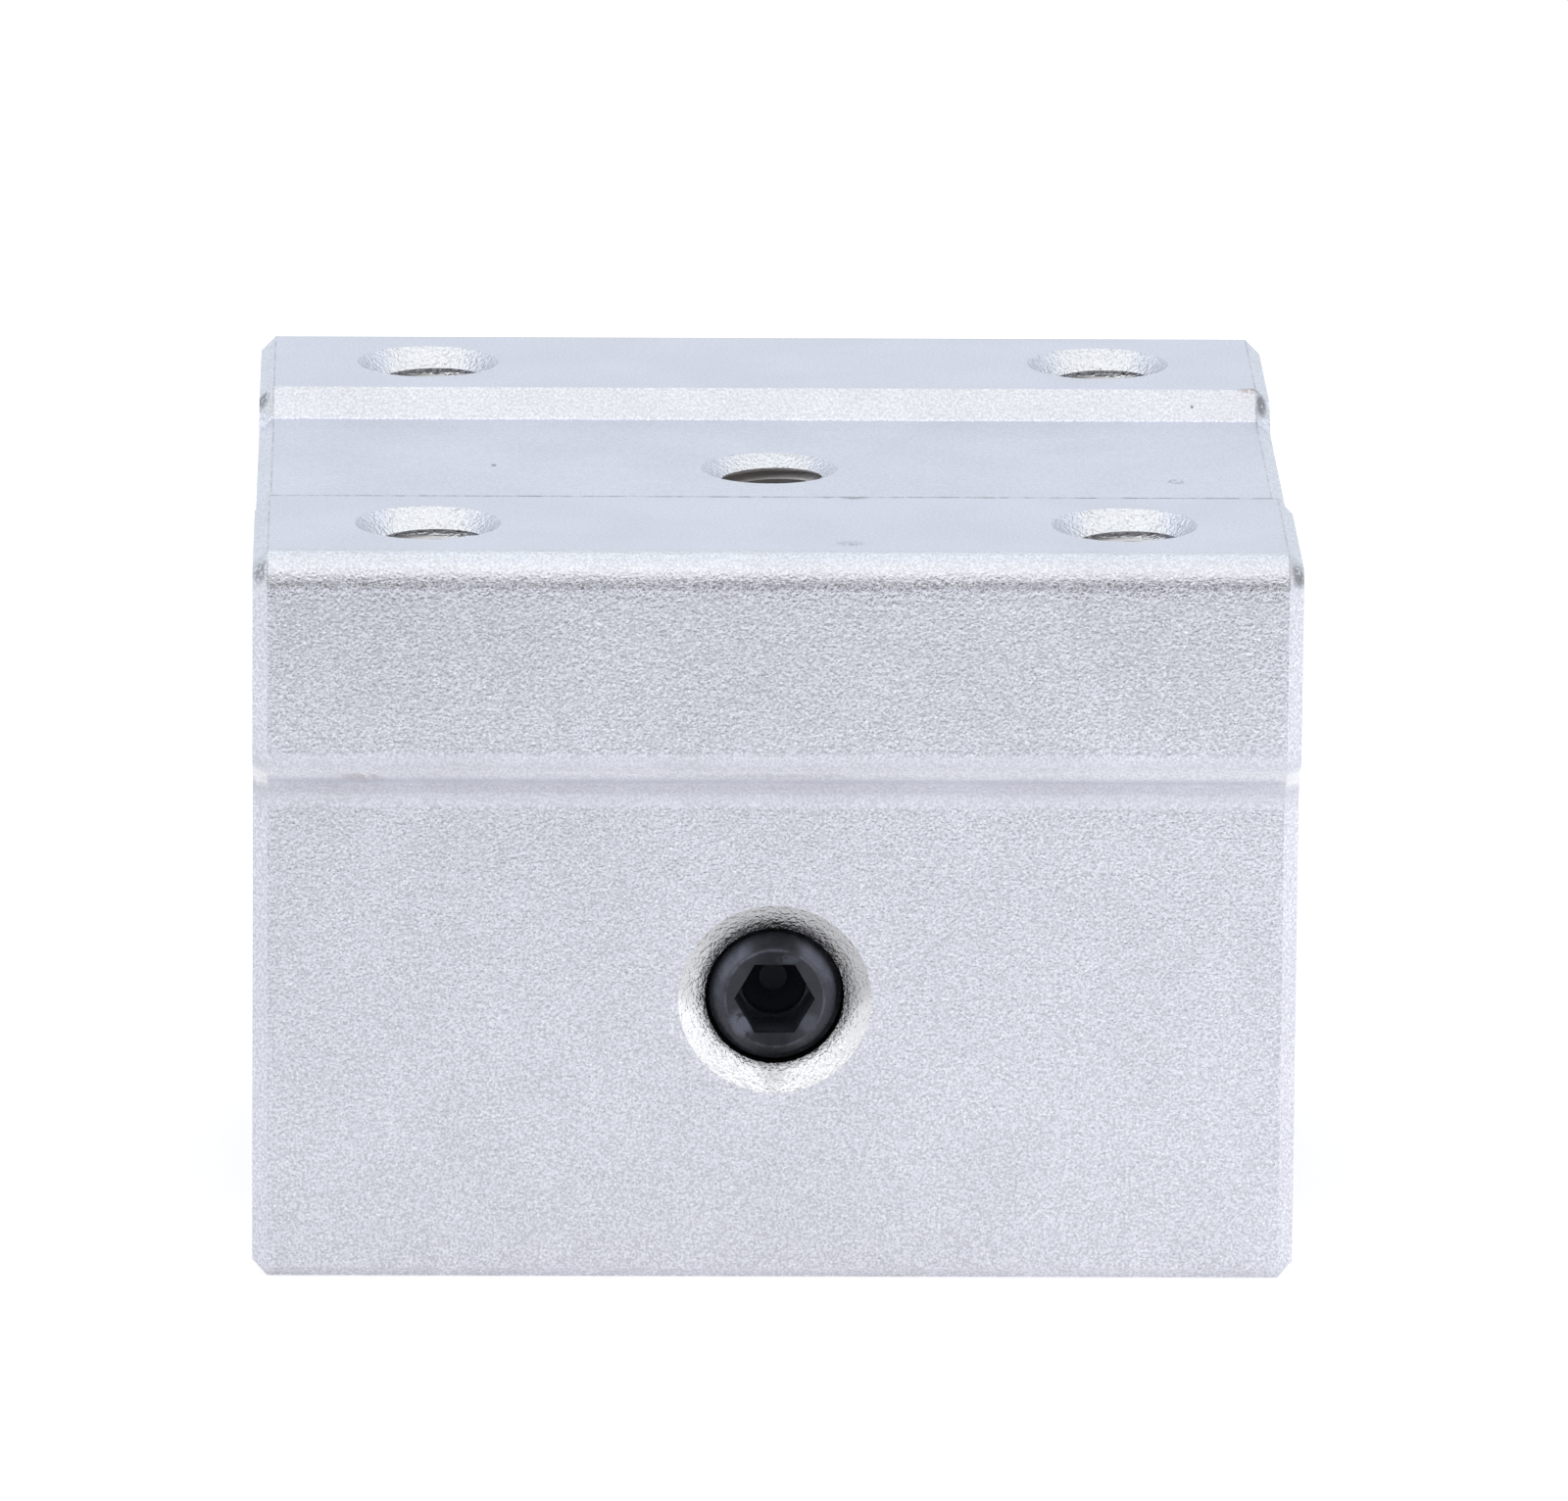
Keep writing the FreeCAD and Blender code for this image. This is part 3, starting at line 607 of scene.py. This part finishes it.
def blasted_aluminium(sizes, colours):
    """Sandblasted and anodised. The milled top and the step under the flange are smoother."""
    material, tree, shader, place = start_material("blasted_aluminium")
    along, across, height = axes_of(tree, place)
    sideways = maths(tree, "ABSOLUTE", across)
    holes, screw_sink, threads = cut_places(tree, along, across, height)
    cut = largest(tree, holes, screw_sink)
    milled, step, rounded, slope = housing_places(tree, sideways, height)
    calm = largest(tree, milled, product(tree, step, 0.6))
    quiet = largest(tree, calm, product(tree, largest(tree, rounded, slope), 0.6))
    creased = largest(tree, without(tree, holes, threads), product(tree, screw_sink, 0.60),
                      product(tree, rounded, 0.45))

    tone = blasted_tone(tree, sizes, tuple(colours.aluminium), place, quiet)
    # Painted shade over the step under the flange and more at its foot, and painted light, lighter and
    # warmer, in its hollow
    lit_hollow = product(tree, step, band(tree, height, STEP_MIDDLE + 0.08 * MM, 0.60 * MM, 0.3, 1.3))
    foot = product(tree, step, band(tree, height, STEP_MIDDLE - 0.50 * MM, 0.34 * MM, 0.3, 1.2))
    upper = product(tree, rounded, ramp(tree, height, *(block_high.z - down for down in UPPER_FROM_TOP)))
    for share, tint in ((step, STEP_PAINTED_SHADE), (lit_hollow, HOLLOW_PAINTED_LIGHT), (foot, FOOT_PAINTED_SHADE),
                        (largest(tree, upper, slope), UPPER_TINT)):
        tone = mix_colour(tree, share, tone, tint, "MULTIPLY")
    tone = mix_colour(tree, cut, tone, cut_tone(tree, colours, along, height, threads))
    tone = edge_marks(tree, tone, place, along, across, height)
    tone = stains(tree, tone, place, along, across, height)

    plain = ramp(tree, calm, 0.0, 1.0, BLASTED_ROUGHNESS, MILLED_ROUGHNESS)
    roughness = ramp(tree, creased, 0.0, 0.8, plain, CREASED_ROUGHNESS)
    pits = noise(tree, place, sizes.grain, 2.0, 0.5)
    grit = noise(tree, place, sizes.grain * GRIT_SIZE, 1.0)
    speckle = maths(tree, "ADD", product(tree, pits, 0.6), product(tree, grit, 0.4))
    left = ramp(tree, largest(tree, calm, cut), 0.0, 1.0, 1.0, GRAIN_LEFT_BY_CUTTING)
    grain = bump(tree, speckle, GRAIN_DEPTH, left)
    creases = noise(tree, place, sizes.grain * CREASE_SIZE, 2.0, 0.55, 0.5)
    dress(tree, shader, tone, roughness, bump(tree, creases, CREASE_DEPTH, creased, grain), metallic=1.0)
    return material


def edge_marks(tree, tone, place, along, across, height):
    """Dark broken lines along the front pad's inner edge and the edges of the end chamfers."""
    broken = ramp(tree, noise(tree, place, 1.0 * MM, 5.0, 0.75), 0.42, 0.60, 0.18, 1.0)
    reach = maths(tree, "ABSOLUTE", along)
    ends = product(tree, band(tree, reach, block_high.x - END_CHAMFER, 0.05 * MM), END_EDGE_STRENGTH)
    front_pad = product(tree, band(tree, across, -PAD_INNER_EDGE - 0.08 * MM, 0.13 * MM),
                        ramp(tree, height, block_high.z - 0.2 * MM, block_high.z - 0.1 * MM))
    on_top = ramp(tree, height, GROOVE_FLOOR - 0.2 * MM, GROOVE_FLOOR - 0.1 * MM)
    line = product(tree, largest(tree, ends, front_pad), broken, on_top, EDGE_STRENGTH)
    return mix_colour(tree, line, tone, EDGE_COLOUR)


def blotch(tree, place, centre, size, grain, cover):
    """A ragged spot: 1 in its middle and 0 beyond its size, torn by noise. More cover leaves less bare."""
    centred = node(tree, "Mapping", {
        "Vector": place,
        "Location": tuple(-c / s for c, s in zip(centre, size)),
        "Scale": tuple(1 / s for s in size)}).outputs[0]
    reach = node(tree, "VectorMath", {0: centred}, operation="LENGTH").outputs["Value"]
    body = ramp(tree, reach, 0.35, 1.0, 1.0, 0.0)
    torn = ramp(tree, noise(tree, place, grain, 3.0, 0.6), 0.62 - 0.3 * cover, 0.72 - 0.3 * cover)
    return product(tree, body, torn)


def stains(tree, tone, place, along, across, height):
    """Dents, dirt and oil left by machining and handling, and painted shade with oil round the set screw's
    hole.
    """
    for centre, size, grain, cover, colour, strength in STAINS:
        spot = blotch(tree, place, [v * MM for v in centre], [v * MM for v in size], grain * MM, cover)
        tone = mix_colour(tree, product(tree, spot, strength), tone, opaque(colour))
    # Painted shade with oil: a dark ring on the set screw's countersink round its hole, wider upwards and
    # brown up to the right
    slanting = maths(tree, "ADD", height, product(tree, along, SHADE_AND_OIL_SLANT))
    spread = ramp(tree, slanting, -2.5 * MM, 3.0 * MM, *SHADE_AND_OIL_SPREAD)
    off_hole = without(tree, distance_from(tree, along, height), SCREW_HOLE_RADIUS)
    oil = product(tree,
                  ramp(tree, maths(tree, "DIVIDE", off_hole, spread), 0.0, 1.0, 1.0, 0.0),
                  ramp(tree, noise(tree, place, 0.22 * MM, 3.0, 0.6), 0.25, 0.60, 0.35, 1.0),
                  near_front(tree, across, 1.5 * MM, 4 * MM),
                  SHADE_AND_OIL_STRENGTH)
    old = ramp(tree, maths(tree, "MINIMUM", along, height), 0.6 * MM, 1.8 * MM)
    return mix_colour(tree, oil, tone, mix_colour(tree, old, SHADE_AND_FRESH_OIL, SHADE_AND_OLD_OIL))


def black_oxide(colours, face):
    """Blackened steel: a satin film, rubbed lighter round the face with painted highlights on its bevel and
    lip, painted light in the socket, and painted shade deep in the socket by less shine.
    """
    material, tree, shader, place = start_material("black_oxide")
    colour = tuple(colours.black_oxide)
    fine = noise(tree, place, 0.10 * MM, 3.0, 0.6)
    clouds = noise(tree, place, 1.1 * MM, 4.0, 0.65)
    along, across, height = axes_of(tree, place)
    reach = maths(tree, "ABSOLUTE", along)
    off_axis = distance_from(tree, along, height)
    depth = without(tree, across, face)

    # Wear with a painted highlight on the face's bevel, lighter at the sides and the top; the spots are wear
    rubbed = product(tree,
                     band(tree, off_axis, WEAR_AND_HIGHLIGHT_RADIUS, 0.30 * MM, 0.1, 1.2),
                     ramp(tree, reach, 0.7 * MM, 1.5 * MM),
                     ramp(tree, height, -0.6 * MM, 1.2 * MM, 0.15, 1.0),
                     ramp(tree, clouds, 0.30, 0.60, 0.45, 1.0))
    for (right, up), (wide, tall), strength in RUBBED_SPOTS:
        centre, size = (right * MM, face, up * MM), (wide * MM, 0.6 * MM, tall * MM)
        spot = blotch(tree, place, centre, size, 0.45 * MM, 0.8)
        rubbed = largest(tree, rubbed, product(tree, spot, strength))
    # Painted highlight along the lip
    lip_highlight = product(tree, band(tree, off_axis, LIP_RADIUS, 0.06 * MM, 0.3, 1.5),
                  ramp(tree, clouds, 0.40, 0.62, 0.10, 0.60))
    # Painted light inside the socket, lighter than the black round it
    socket = product(tree, ramp(tree, depth, 0.1 * MM, 0.5 * MM),
                     maths(tree, "LESS_THAN", off_axis, SOCKET_RADIUS), 0.8)
    tone = clouded(tree, ramp(tree, clouds, 0.40, 0.70), colour, 0.7, 1.5)
    tone = mix_colour(tree, largest(tree, rubbed, lip_highlight), tone, scaled(colour, WEAR_AND_HIGHLIGHT_TONE))
    tone = mix_colour(tree, socket, tone, scaled(colour, SOCKET_PAINTED_LIGHT_TONE))

    # Painted shade deep in the socket, by halving the shine at its bottom
    deep = ramp(tree, depth, SOCKET_DEPTH - 0.4 * MM, SOCKET_DEPTH + 0.3 * MM)
    shine = product(tree, ramp(tree, reach, 0.3 * MM, 1.5 * MM, *SCREW_SHINE),
                    ramp(tree, deep, 0.0, 1.0, 1.0, 0.5))
    set_input(tree, shader, "Specular Tint", SCREW_SHINE_TINT)
    set_input(tree, shader, "Specular IOR Level", shine)
    dress(tree, shader, tone, ramp(tree, fine, 0.3, 0.7, *SCREW_ROUGHNESS),
          bump(tree, fine, FINE_GRAIN_DEPTH, 0.7))
    return material


def worn_steel(name, colour, roughness, grain, wear):
    """Dark or bright steel with a fine turned grain and lighter rubbed places."""
    material, tree, shader, place = start_material(name)
    fine = noise(tree, place, grain, 3.0, 0.6)
    clouds = noise(tree, place, 1.6 * MM, 4.0, 0.6)
    tone = clouded(tree, ramp(tree, clouds, 0.55, 0.78), colour, 1.0, 1.0 + wear)
    dress(tree, shader, tone, ramp(tree, fine, 0.3, 0.7, roughness - 0.06, roughness + 0.08),
          bump(tree, fine, FINE_GRAIN_DEPTH, 0.6), metallic=1.0)
    return material


def ground_steel(colours):
    """Ground round the shaft's direction, so that fine lines run round the sleeve."""
    material, tree, shader, place = start_material("ground_steel")
    stretched = node(tree, "Mapping", {"Vector": place, "Scale": (1.0, 0.04, 0.04)}).outputs[0]
    lines = noise(tree, stretched, 0.05 * MM, 2.0)
    tone = clouded(tree, noise(tree, place, 4 * MM, 3.0), tuple(colours.sleeve), 0.94, 1.05)
    dress(tree, shader, tone, ramp(tree, lines, 0.3, 0.7, 0.22, 0.34),
          bump(tree, lines, 0.004 * MM, 0.5), metallic=1.0)
    return material


def polished_steel(colours):
    """Hardened balls with a film of grease."""
    material, tree, shader, place = start_material("polished_steel")
    film = noise(tree, place, 1.2 * MM, 3.0)
    tone = clouded(tree, film, tuple(colours.balls), 0.93, 1.02)
    dress(tree, shader, tone, ramp(tree, film, 0.4, 0.7, 0.06, 0.14), metallic=1.0)
    return material


def moulded(name, colour, roughness, grain, depth):
    """Moulded resin or rubber with a fine texture."""
    material, tree, shader, place = start_material(name)
    clouds = noise(tree, place, 3 * MM, 3.0)
    tone = clouded(tree, clouds, colour, 0.85, 1.2)
    dress(tree, shader, tone, ramp(tree, clouds, 0.3, 0.7, roughness - 0.06, roughness + 0.06),
          bump(tree, noise(tree, place, grain, 2.0), depth, 0.5))
    return material


# ---- Operators, one for each piece or group of like pieces

class BLOCK_OT_housing(Operator):
    """Makes the dressed housing: broken edges, threaded holes and a blasted finish"""
    bl_idname = "block.housing"
    bl_label = "Housing"

    def execute(self, context):
        sizes = context.scene.block_sizes
        housing = copy_of_node("housing", "housing_blasted")
        apply_modifier(housing, "BEVEL", width=sizes.edge_break, segments=2, limit_method="ANGLE",
                       angle_limit=SMOOTH_ANGLE, use_clamp_overlap=True, loop_slide=True)
        bolts = mounts["top_bolts"]["dims"]
        half_x = bolts["spacing_x_mm"] / 2 * MM
        half_y = bolts["spacing_y_mm"] / 2 * MM
        wall = bolts["hole_r_mm"] * MM
        down = Vector((0, 0, -1))
        start = sizes.bolt_thread_start
        for x, y in [(-half_x, -half_y), (half_x, -half_y), (half_x, half_y), (-half_x, half_y)]:
            mouth = Vector((x, y, block_high.z - start))
            cut_away(housing, thread_cutter("bolt_thread", mouth, down, wall, wall + TOP_THREAD_RELIEF,
                                            sizes.top_thread_pitch, sizes.top_thread_depth - start,
                                            sizes.thread_steps))
        wall = mounts["grease_hole"]["dims"]["r_mm"] * MM
        mouth = Vector((0, 0, GROOVE_FLOOR - sizes.grease_thread_start))
        cut_away(housing, thread_cutter("grease_thread", mouth, down, wall, wall + TOP_THREAD_RELIEF,
                                        sizes.top_thread_pitch, GREASE_THREAD_LENGTH, sizes.thread_steps))
        smooth(housing)
        paint(housing, blasted_aluminium(sizes, context.scene.block_colours))
        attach(housing, "block")
        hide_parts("housing")
        return {"FINISHED"}


class BLOCK_OT_set_screw(Operator):
    """Makes the threaded set screw with its black oxide finish"""
    bl_idname = "block.set_screw"
    bl_label = "Set screw"

    def execute(self, context):
        sizes = context.scene.block_sizes
        screw = copy_of_node("set_screw", "set_screw_threaded")
        low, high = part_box("set_screw")
        radius = (high.x - low.x) / 2
        apply_modifier(screw, "BEVEL", width=SCREW_EDGE_BREAK, segments=2, limit_method="ANGLE",
                       angle_limit=SCREW_EDGE_ANGLE, use_clamp_overlap=True)
        mouth = Vector((0, low.y - SCREW_THREAD_LEAD_IN, 0))
        length = high.y - low.y + SCREW_THREAD_OVERRUN
        cut_away(screw, thread_cutter("screw_thread", mouth, Vector((0, 1, 0)), radius,
                                      radius - SCREW_THREAD_RELIEF, sizes.screw_thread_pitch, length,
                                      sizes.thread_steps))
        smooth(screw)
        paint(screw, black_oxide(context.scene.block_colours, low.y))
        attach(screw, "set_screw")
        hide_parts("set_screw")
        return {"FINISHED"}


class BLOCK_OT_bearing(Operator):
    """Finishes the sleeve, cage, balls, rings and seals of the bearing"""
    bl_idname = "block.bearing"
    bl_label = "Bearing"

    def execute(self, context):
        colours = context.scene.block_colours
        ring = worn_steel("phosphated_steel", tuple(colours.rings), roughness=0.42, grain=0.08 * MM,
                          wear=0.5)
        cage = moulded("cage_resin", tuple(colours.cage), roughness=0.42, grain=0.06 * MM,
                       depth=0.004 * MM)
        seal = moulded("seal_rubber", tuple(colours.seals), roughness=0.55, grain=0.09 * MM,
                       depth=0.008 * MM)
        finishes = {
            "sleeve": (ground_steel(colours), "sleeve_steel"),
            "balls": (polished_steel(colours), "ball_steel"),
            "ring": (ring, "ring_steel"),
            "cage": (cage, "cage_resin"),
            "seal": (seal, "seal_rubber"),
        }
        for name, piece in frame["nodes"].items():
            words = name.split("_")
            kind = "cage" if name == "ball_cage" else next(
                (key for key in ("sleeve", "balls", "ring", "seal") if key in words), None)
            if kind:
                material, slot = finishes[kind]
                paint(piece, material)
        return {"FINISHED"}


class BLOCK_OT_stage(Operator):
    """Builds the floor, the soft light and the camera"""
    bl_idname = "block.stage"
    bl_label = "Stage"

    def execute(self, context):
        studio = context.scene.block_studio
        build_floor(studio)
        build_sky(context, studio)
        build_softbox(studio)
        build_camera(context, studio)
        return {"FINISHED"}


# ---- Stage

def seen_directly(tree):
    """1 for rays that show the floor itself: straight, glossy or through glass."""
    path = node(tree, "LightPath")
    seen = maths(tree, "ADD", path.outputs["Is Camera Ray"], path.outputs["Is Glossy Ray"])
    return maths(tree, "ADD", seen, path.outputs["Is Transmission Ray"], clamp=True)


def build_floor(studio):
    """White to the rays that see it directly, and grey to the rest, so that it keeps the block's shadow."""
    bpy.ops.object.select_all(action="DESELECT")
    bpy.ops.mesh.primitive_circle_add(vertices=FLOOR_SIDES, radius=FLOOR_RADIUS, fill_type="NGON",
                                      location=(0, 0, block_low.z))
    floor = bpy.context.object
    floor.name = "floor"
    bpy.ops.object.transform_apply(location=True, rotation=True, scale=True)
    material = bpy.data.materials.new("floor_paper")
    material.use_nodes = True
    tree = material.node_tree
    tree.nodes.clear()
    paper = node(tree, "BsdfDiffuse", {"Color": opaque(studio.floor_colour)}).outputs[0]
    right = node(tree, "SeparateXYZ", {0: node(tree, "TexCoord").outputs["Object"]}).outputs["X"]
    # Painted light: glossy rays see the floor darker to the left than to the right
    tilt = product(tree, ramp(tree, right, -FLOOR_TILT_REACH, FLOOR_TILT_REACH, *FLOOR_PAINTED_TILT),
                   node(tree, "LightPath").outputs["Is Glossy Ray"])
    lift = maths(tree, "ADD", FLOOR_LIFT, tilt)
    white = node(tree, "Emission", {"Color": (1, 1, 1, 1), "Strength": lift}).outputs[0]
    clear = node(tree, "BsdfTransparent").outputs[0]
    lifted = node(tree, "AddShader", {0: paper, 1: white}).outputs[0]
    shown = node(tree, "MixShader", {0: seen_directly(tree), 1: paper, 2: lifted}).outputs[0]
    below = node(tree, "NewGeometry").outputs["Backfacing"]
    surface = node(tree, "MixShader", {0: below, 1: shown, 2: clear}).outputs[0]
    node(tree, "OutputMaterial", {"Surface": surface})
    floor.data.materials.append(material)


def glow(tree, way, azimuth, elevation, full, fade):
    """A round patch of the sky: 1 within one angle of its middle and 0 beyond another, in degrees."""
    turn, lift = math.radians(azimuth), math.radians(elevation)
    middle = Vector((math.sin(turn) * math.cos(lift), -math.cos(turn) * math.cos(lift), math.sin(lift)))
    towards = node(tree, "VectorMath", {0: way, 1: middle}, operation="DOT_PRODUCT").outputs["Value"]
    return ramp(tree, towards, math.cos(math.radians(fade)), math.cos(math.radians(full)))


def build_sky(context, studio):
    """White to the camera. The light itself is brighter high up and darker low down in front."""
    world = bpy.data.worlds.new("studio_sky")
    world.use_nodes = True
    context.scene.world = world
    tree = world.node_tree
    tree.nodes.clear()
    way = node(tree, "TexCoord").outputs["Generated"]
    right, back, up = axes_of(tree, way)
    level = without(tree, ramp(tree, up, *SKY_RISE), ramp(tree, up, *SKY_LOSS_OVERHEAD))
    sides = maths(tree, "ADD", ramp(tree, right, *SKY_GAIN_RIGHT), ramp(tree, right, *SKY_GAIN_LEFT))
    level = maths(tree, "ADD", level, sides)
    for azimuth, elevation, strength, full, fade in SKY_PATCHES:
        patch = glow(tree, way, azimuth, elevation, full, fade)
        level = maths(tree, "ADD", level, product(tree, patch, strength))
    dark = product(tree, glow(tree, way, *DARK_PATCH), DARK_SHARE)
    level = product(tree, level, without(tree, 1.0, dark), studio.sky_level)
    tint = mix_colour(tree, ramp(tree, back, *TINT_TURN), FRONT_TINT, BACK_TINT)
    light = node(tree, "Background", {"Color": tint, "Strength": level}).outputs[0]
    white = node(tree, "Background", {"Color": (1, 1, 1, 1), "Strength": 1.0}).outputs[0]
    seen = node(tree, "LightPath").outputs["Is Camera Ray"]
    surface = node(tree, "MixShader", {0: seen, 1: light, 2: white}).outputs[0]
    node(tree, "OutputWorld", {"Surface": surface})


def build_softbox(studio):
    """A large soft lamp overhead, aimed at the block."""
    lamp = bpy.data.lights.new("softbox", "AREA")
    lamp.shape = "RECTANGLE"
    lamp.size, lamp.size_y = SOFTBOX_SIZE
    lamp.energy = studio.softbox_power
    box = bpy.data.objects.new("softbox", lamp)
    box.location = SOFTBOX_PLACE
    aim = Vector((0, 0, 0)) - box.location
    box.rotation_euler = aim.to_track_quat("-Z", "Y").to_euler()
    bpy.context.scene.collection.objects.link(box)


def build_camera(context, studio):
    """A long lens, placed and turned as the settings say."""
    camera = bpy.data.cameras.new("camera")
    camera.sensor_fit = "HORIZONTAL"
    camera.sensor_width = SENSOR_WIDTH
    camera.lens = studio.lens
    camera.clip_end = CLIP_END
    stand = bpy.data.objects.new("camera", camera)
    context.scene.collection.objects.link(stand)
    turn = (Matrix.Rotation(-studio.camera_yaw, 4, "Z")
            @ Matrix.Rotation(math.pi / 2 - studio.camera_pitch, 4, "X")
            @ Matrix.Rotation(-studio.camera_roll, 4, "Z"))
    stand.matrix_world = Matrix.Translation(studio.camera_place) @ turn
    context.scene.camera = stand
    context.scene.view_settings.view_transform = "Standard"


# ---- Panel, registration and the run

class BLOCK_PT_panel(Panel):
    bl_idname = "BLOCK_PT_panel"
    bl_label = "Bearing Block"
    bl_space_type = "VIEW_3D"
    bl_region_type = "UI"
    bl_category = "Bearing Block"

    def draw(self, context):
        for operator in OPERATORS:
            self.layout.operator(operator.bl_idname)
        for settings in (context.scene.block_sizes, context.scene.block_colours, context.scene.block_studio):
            box = self.layout.box()
            for name in settings.__annotations__:
                box.prop(settings, name)


OPERATORS = (BLOCK_OT_housing, BLOCK_OT_set_screw, BLOCK_OT_bearing, BLOCK_OT_stage)
SETTINGS = {"block_sizes": BlockSizes, "block_colours": BlockColours, "block_studio": BlockStudio}


def register():
    for group in SETTINGS.values():
        bpy.utils.register_class(group)
    for name, group in SETTINGS.items():
        setattr(bpy.types.Scene, name, PointerProperty(type=group))
    for operator in OPERATORS:
        bpy.utils.register_class(operator)
    bpy.utils.register_class(BLOCK_PT_panel)


def unregister():
    bpy.utils.unregister_class(BLOCK_PT_panel)
    for operator in reversed(OPERATORS):
        bpy.utils.unregister_class(operator)
    for name in SETTINGS:
        delattr(bpy.types.Scene, name)
    for group in SETTINGS.values():
        bpy.utils.unregister_class(group)


def main():
    register()
    bpy.ops.block.housing()
    bpy.ops.block.set_screw()
    bpy.ops.block.bearing()
    bpy.ops.block.stage()


if __name__ == "__main__":
    main()
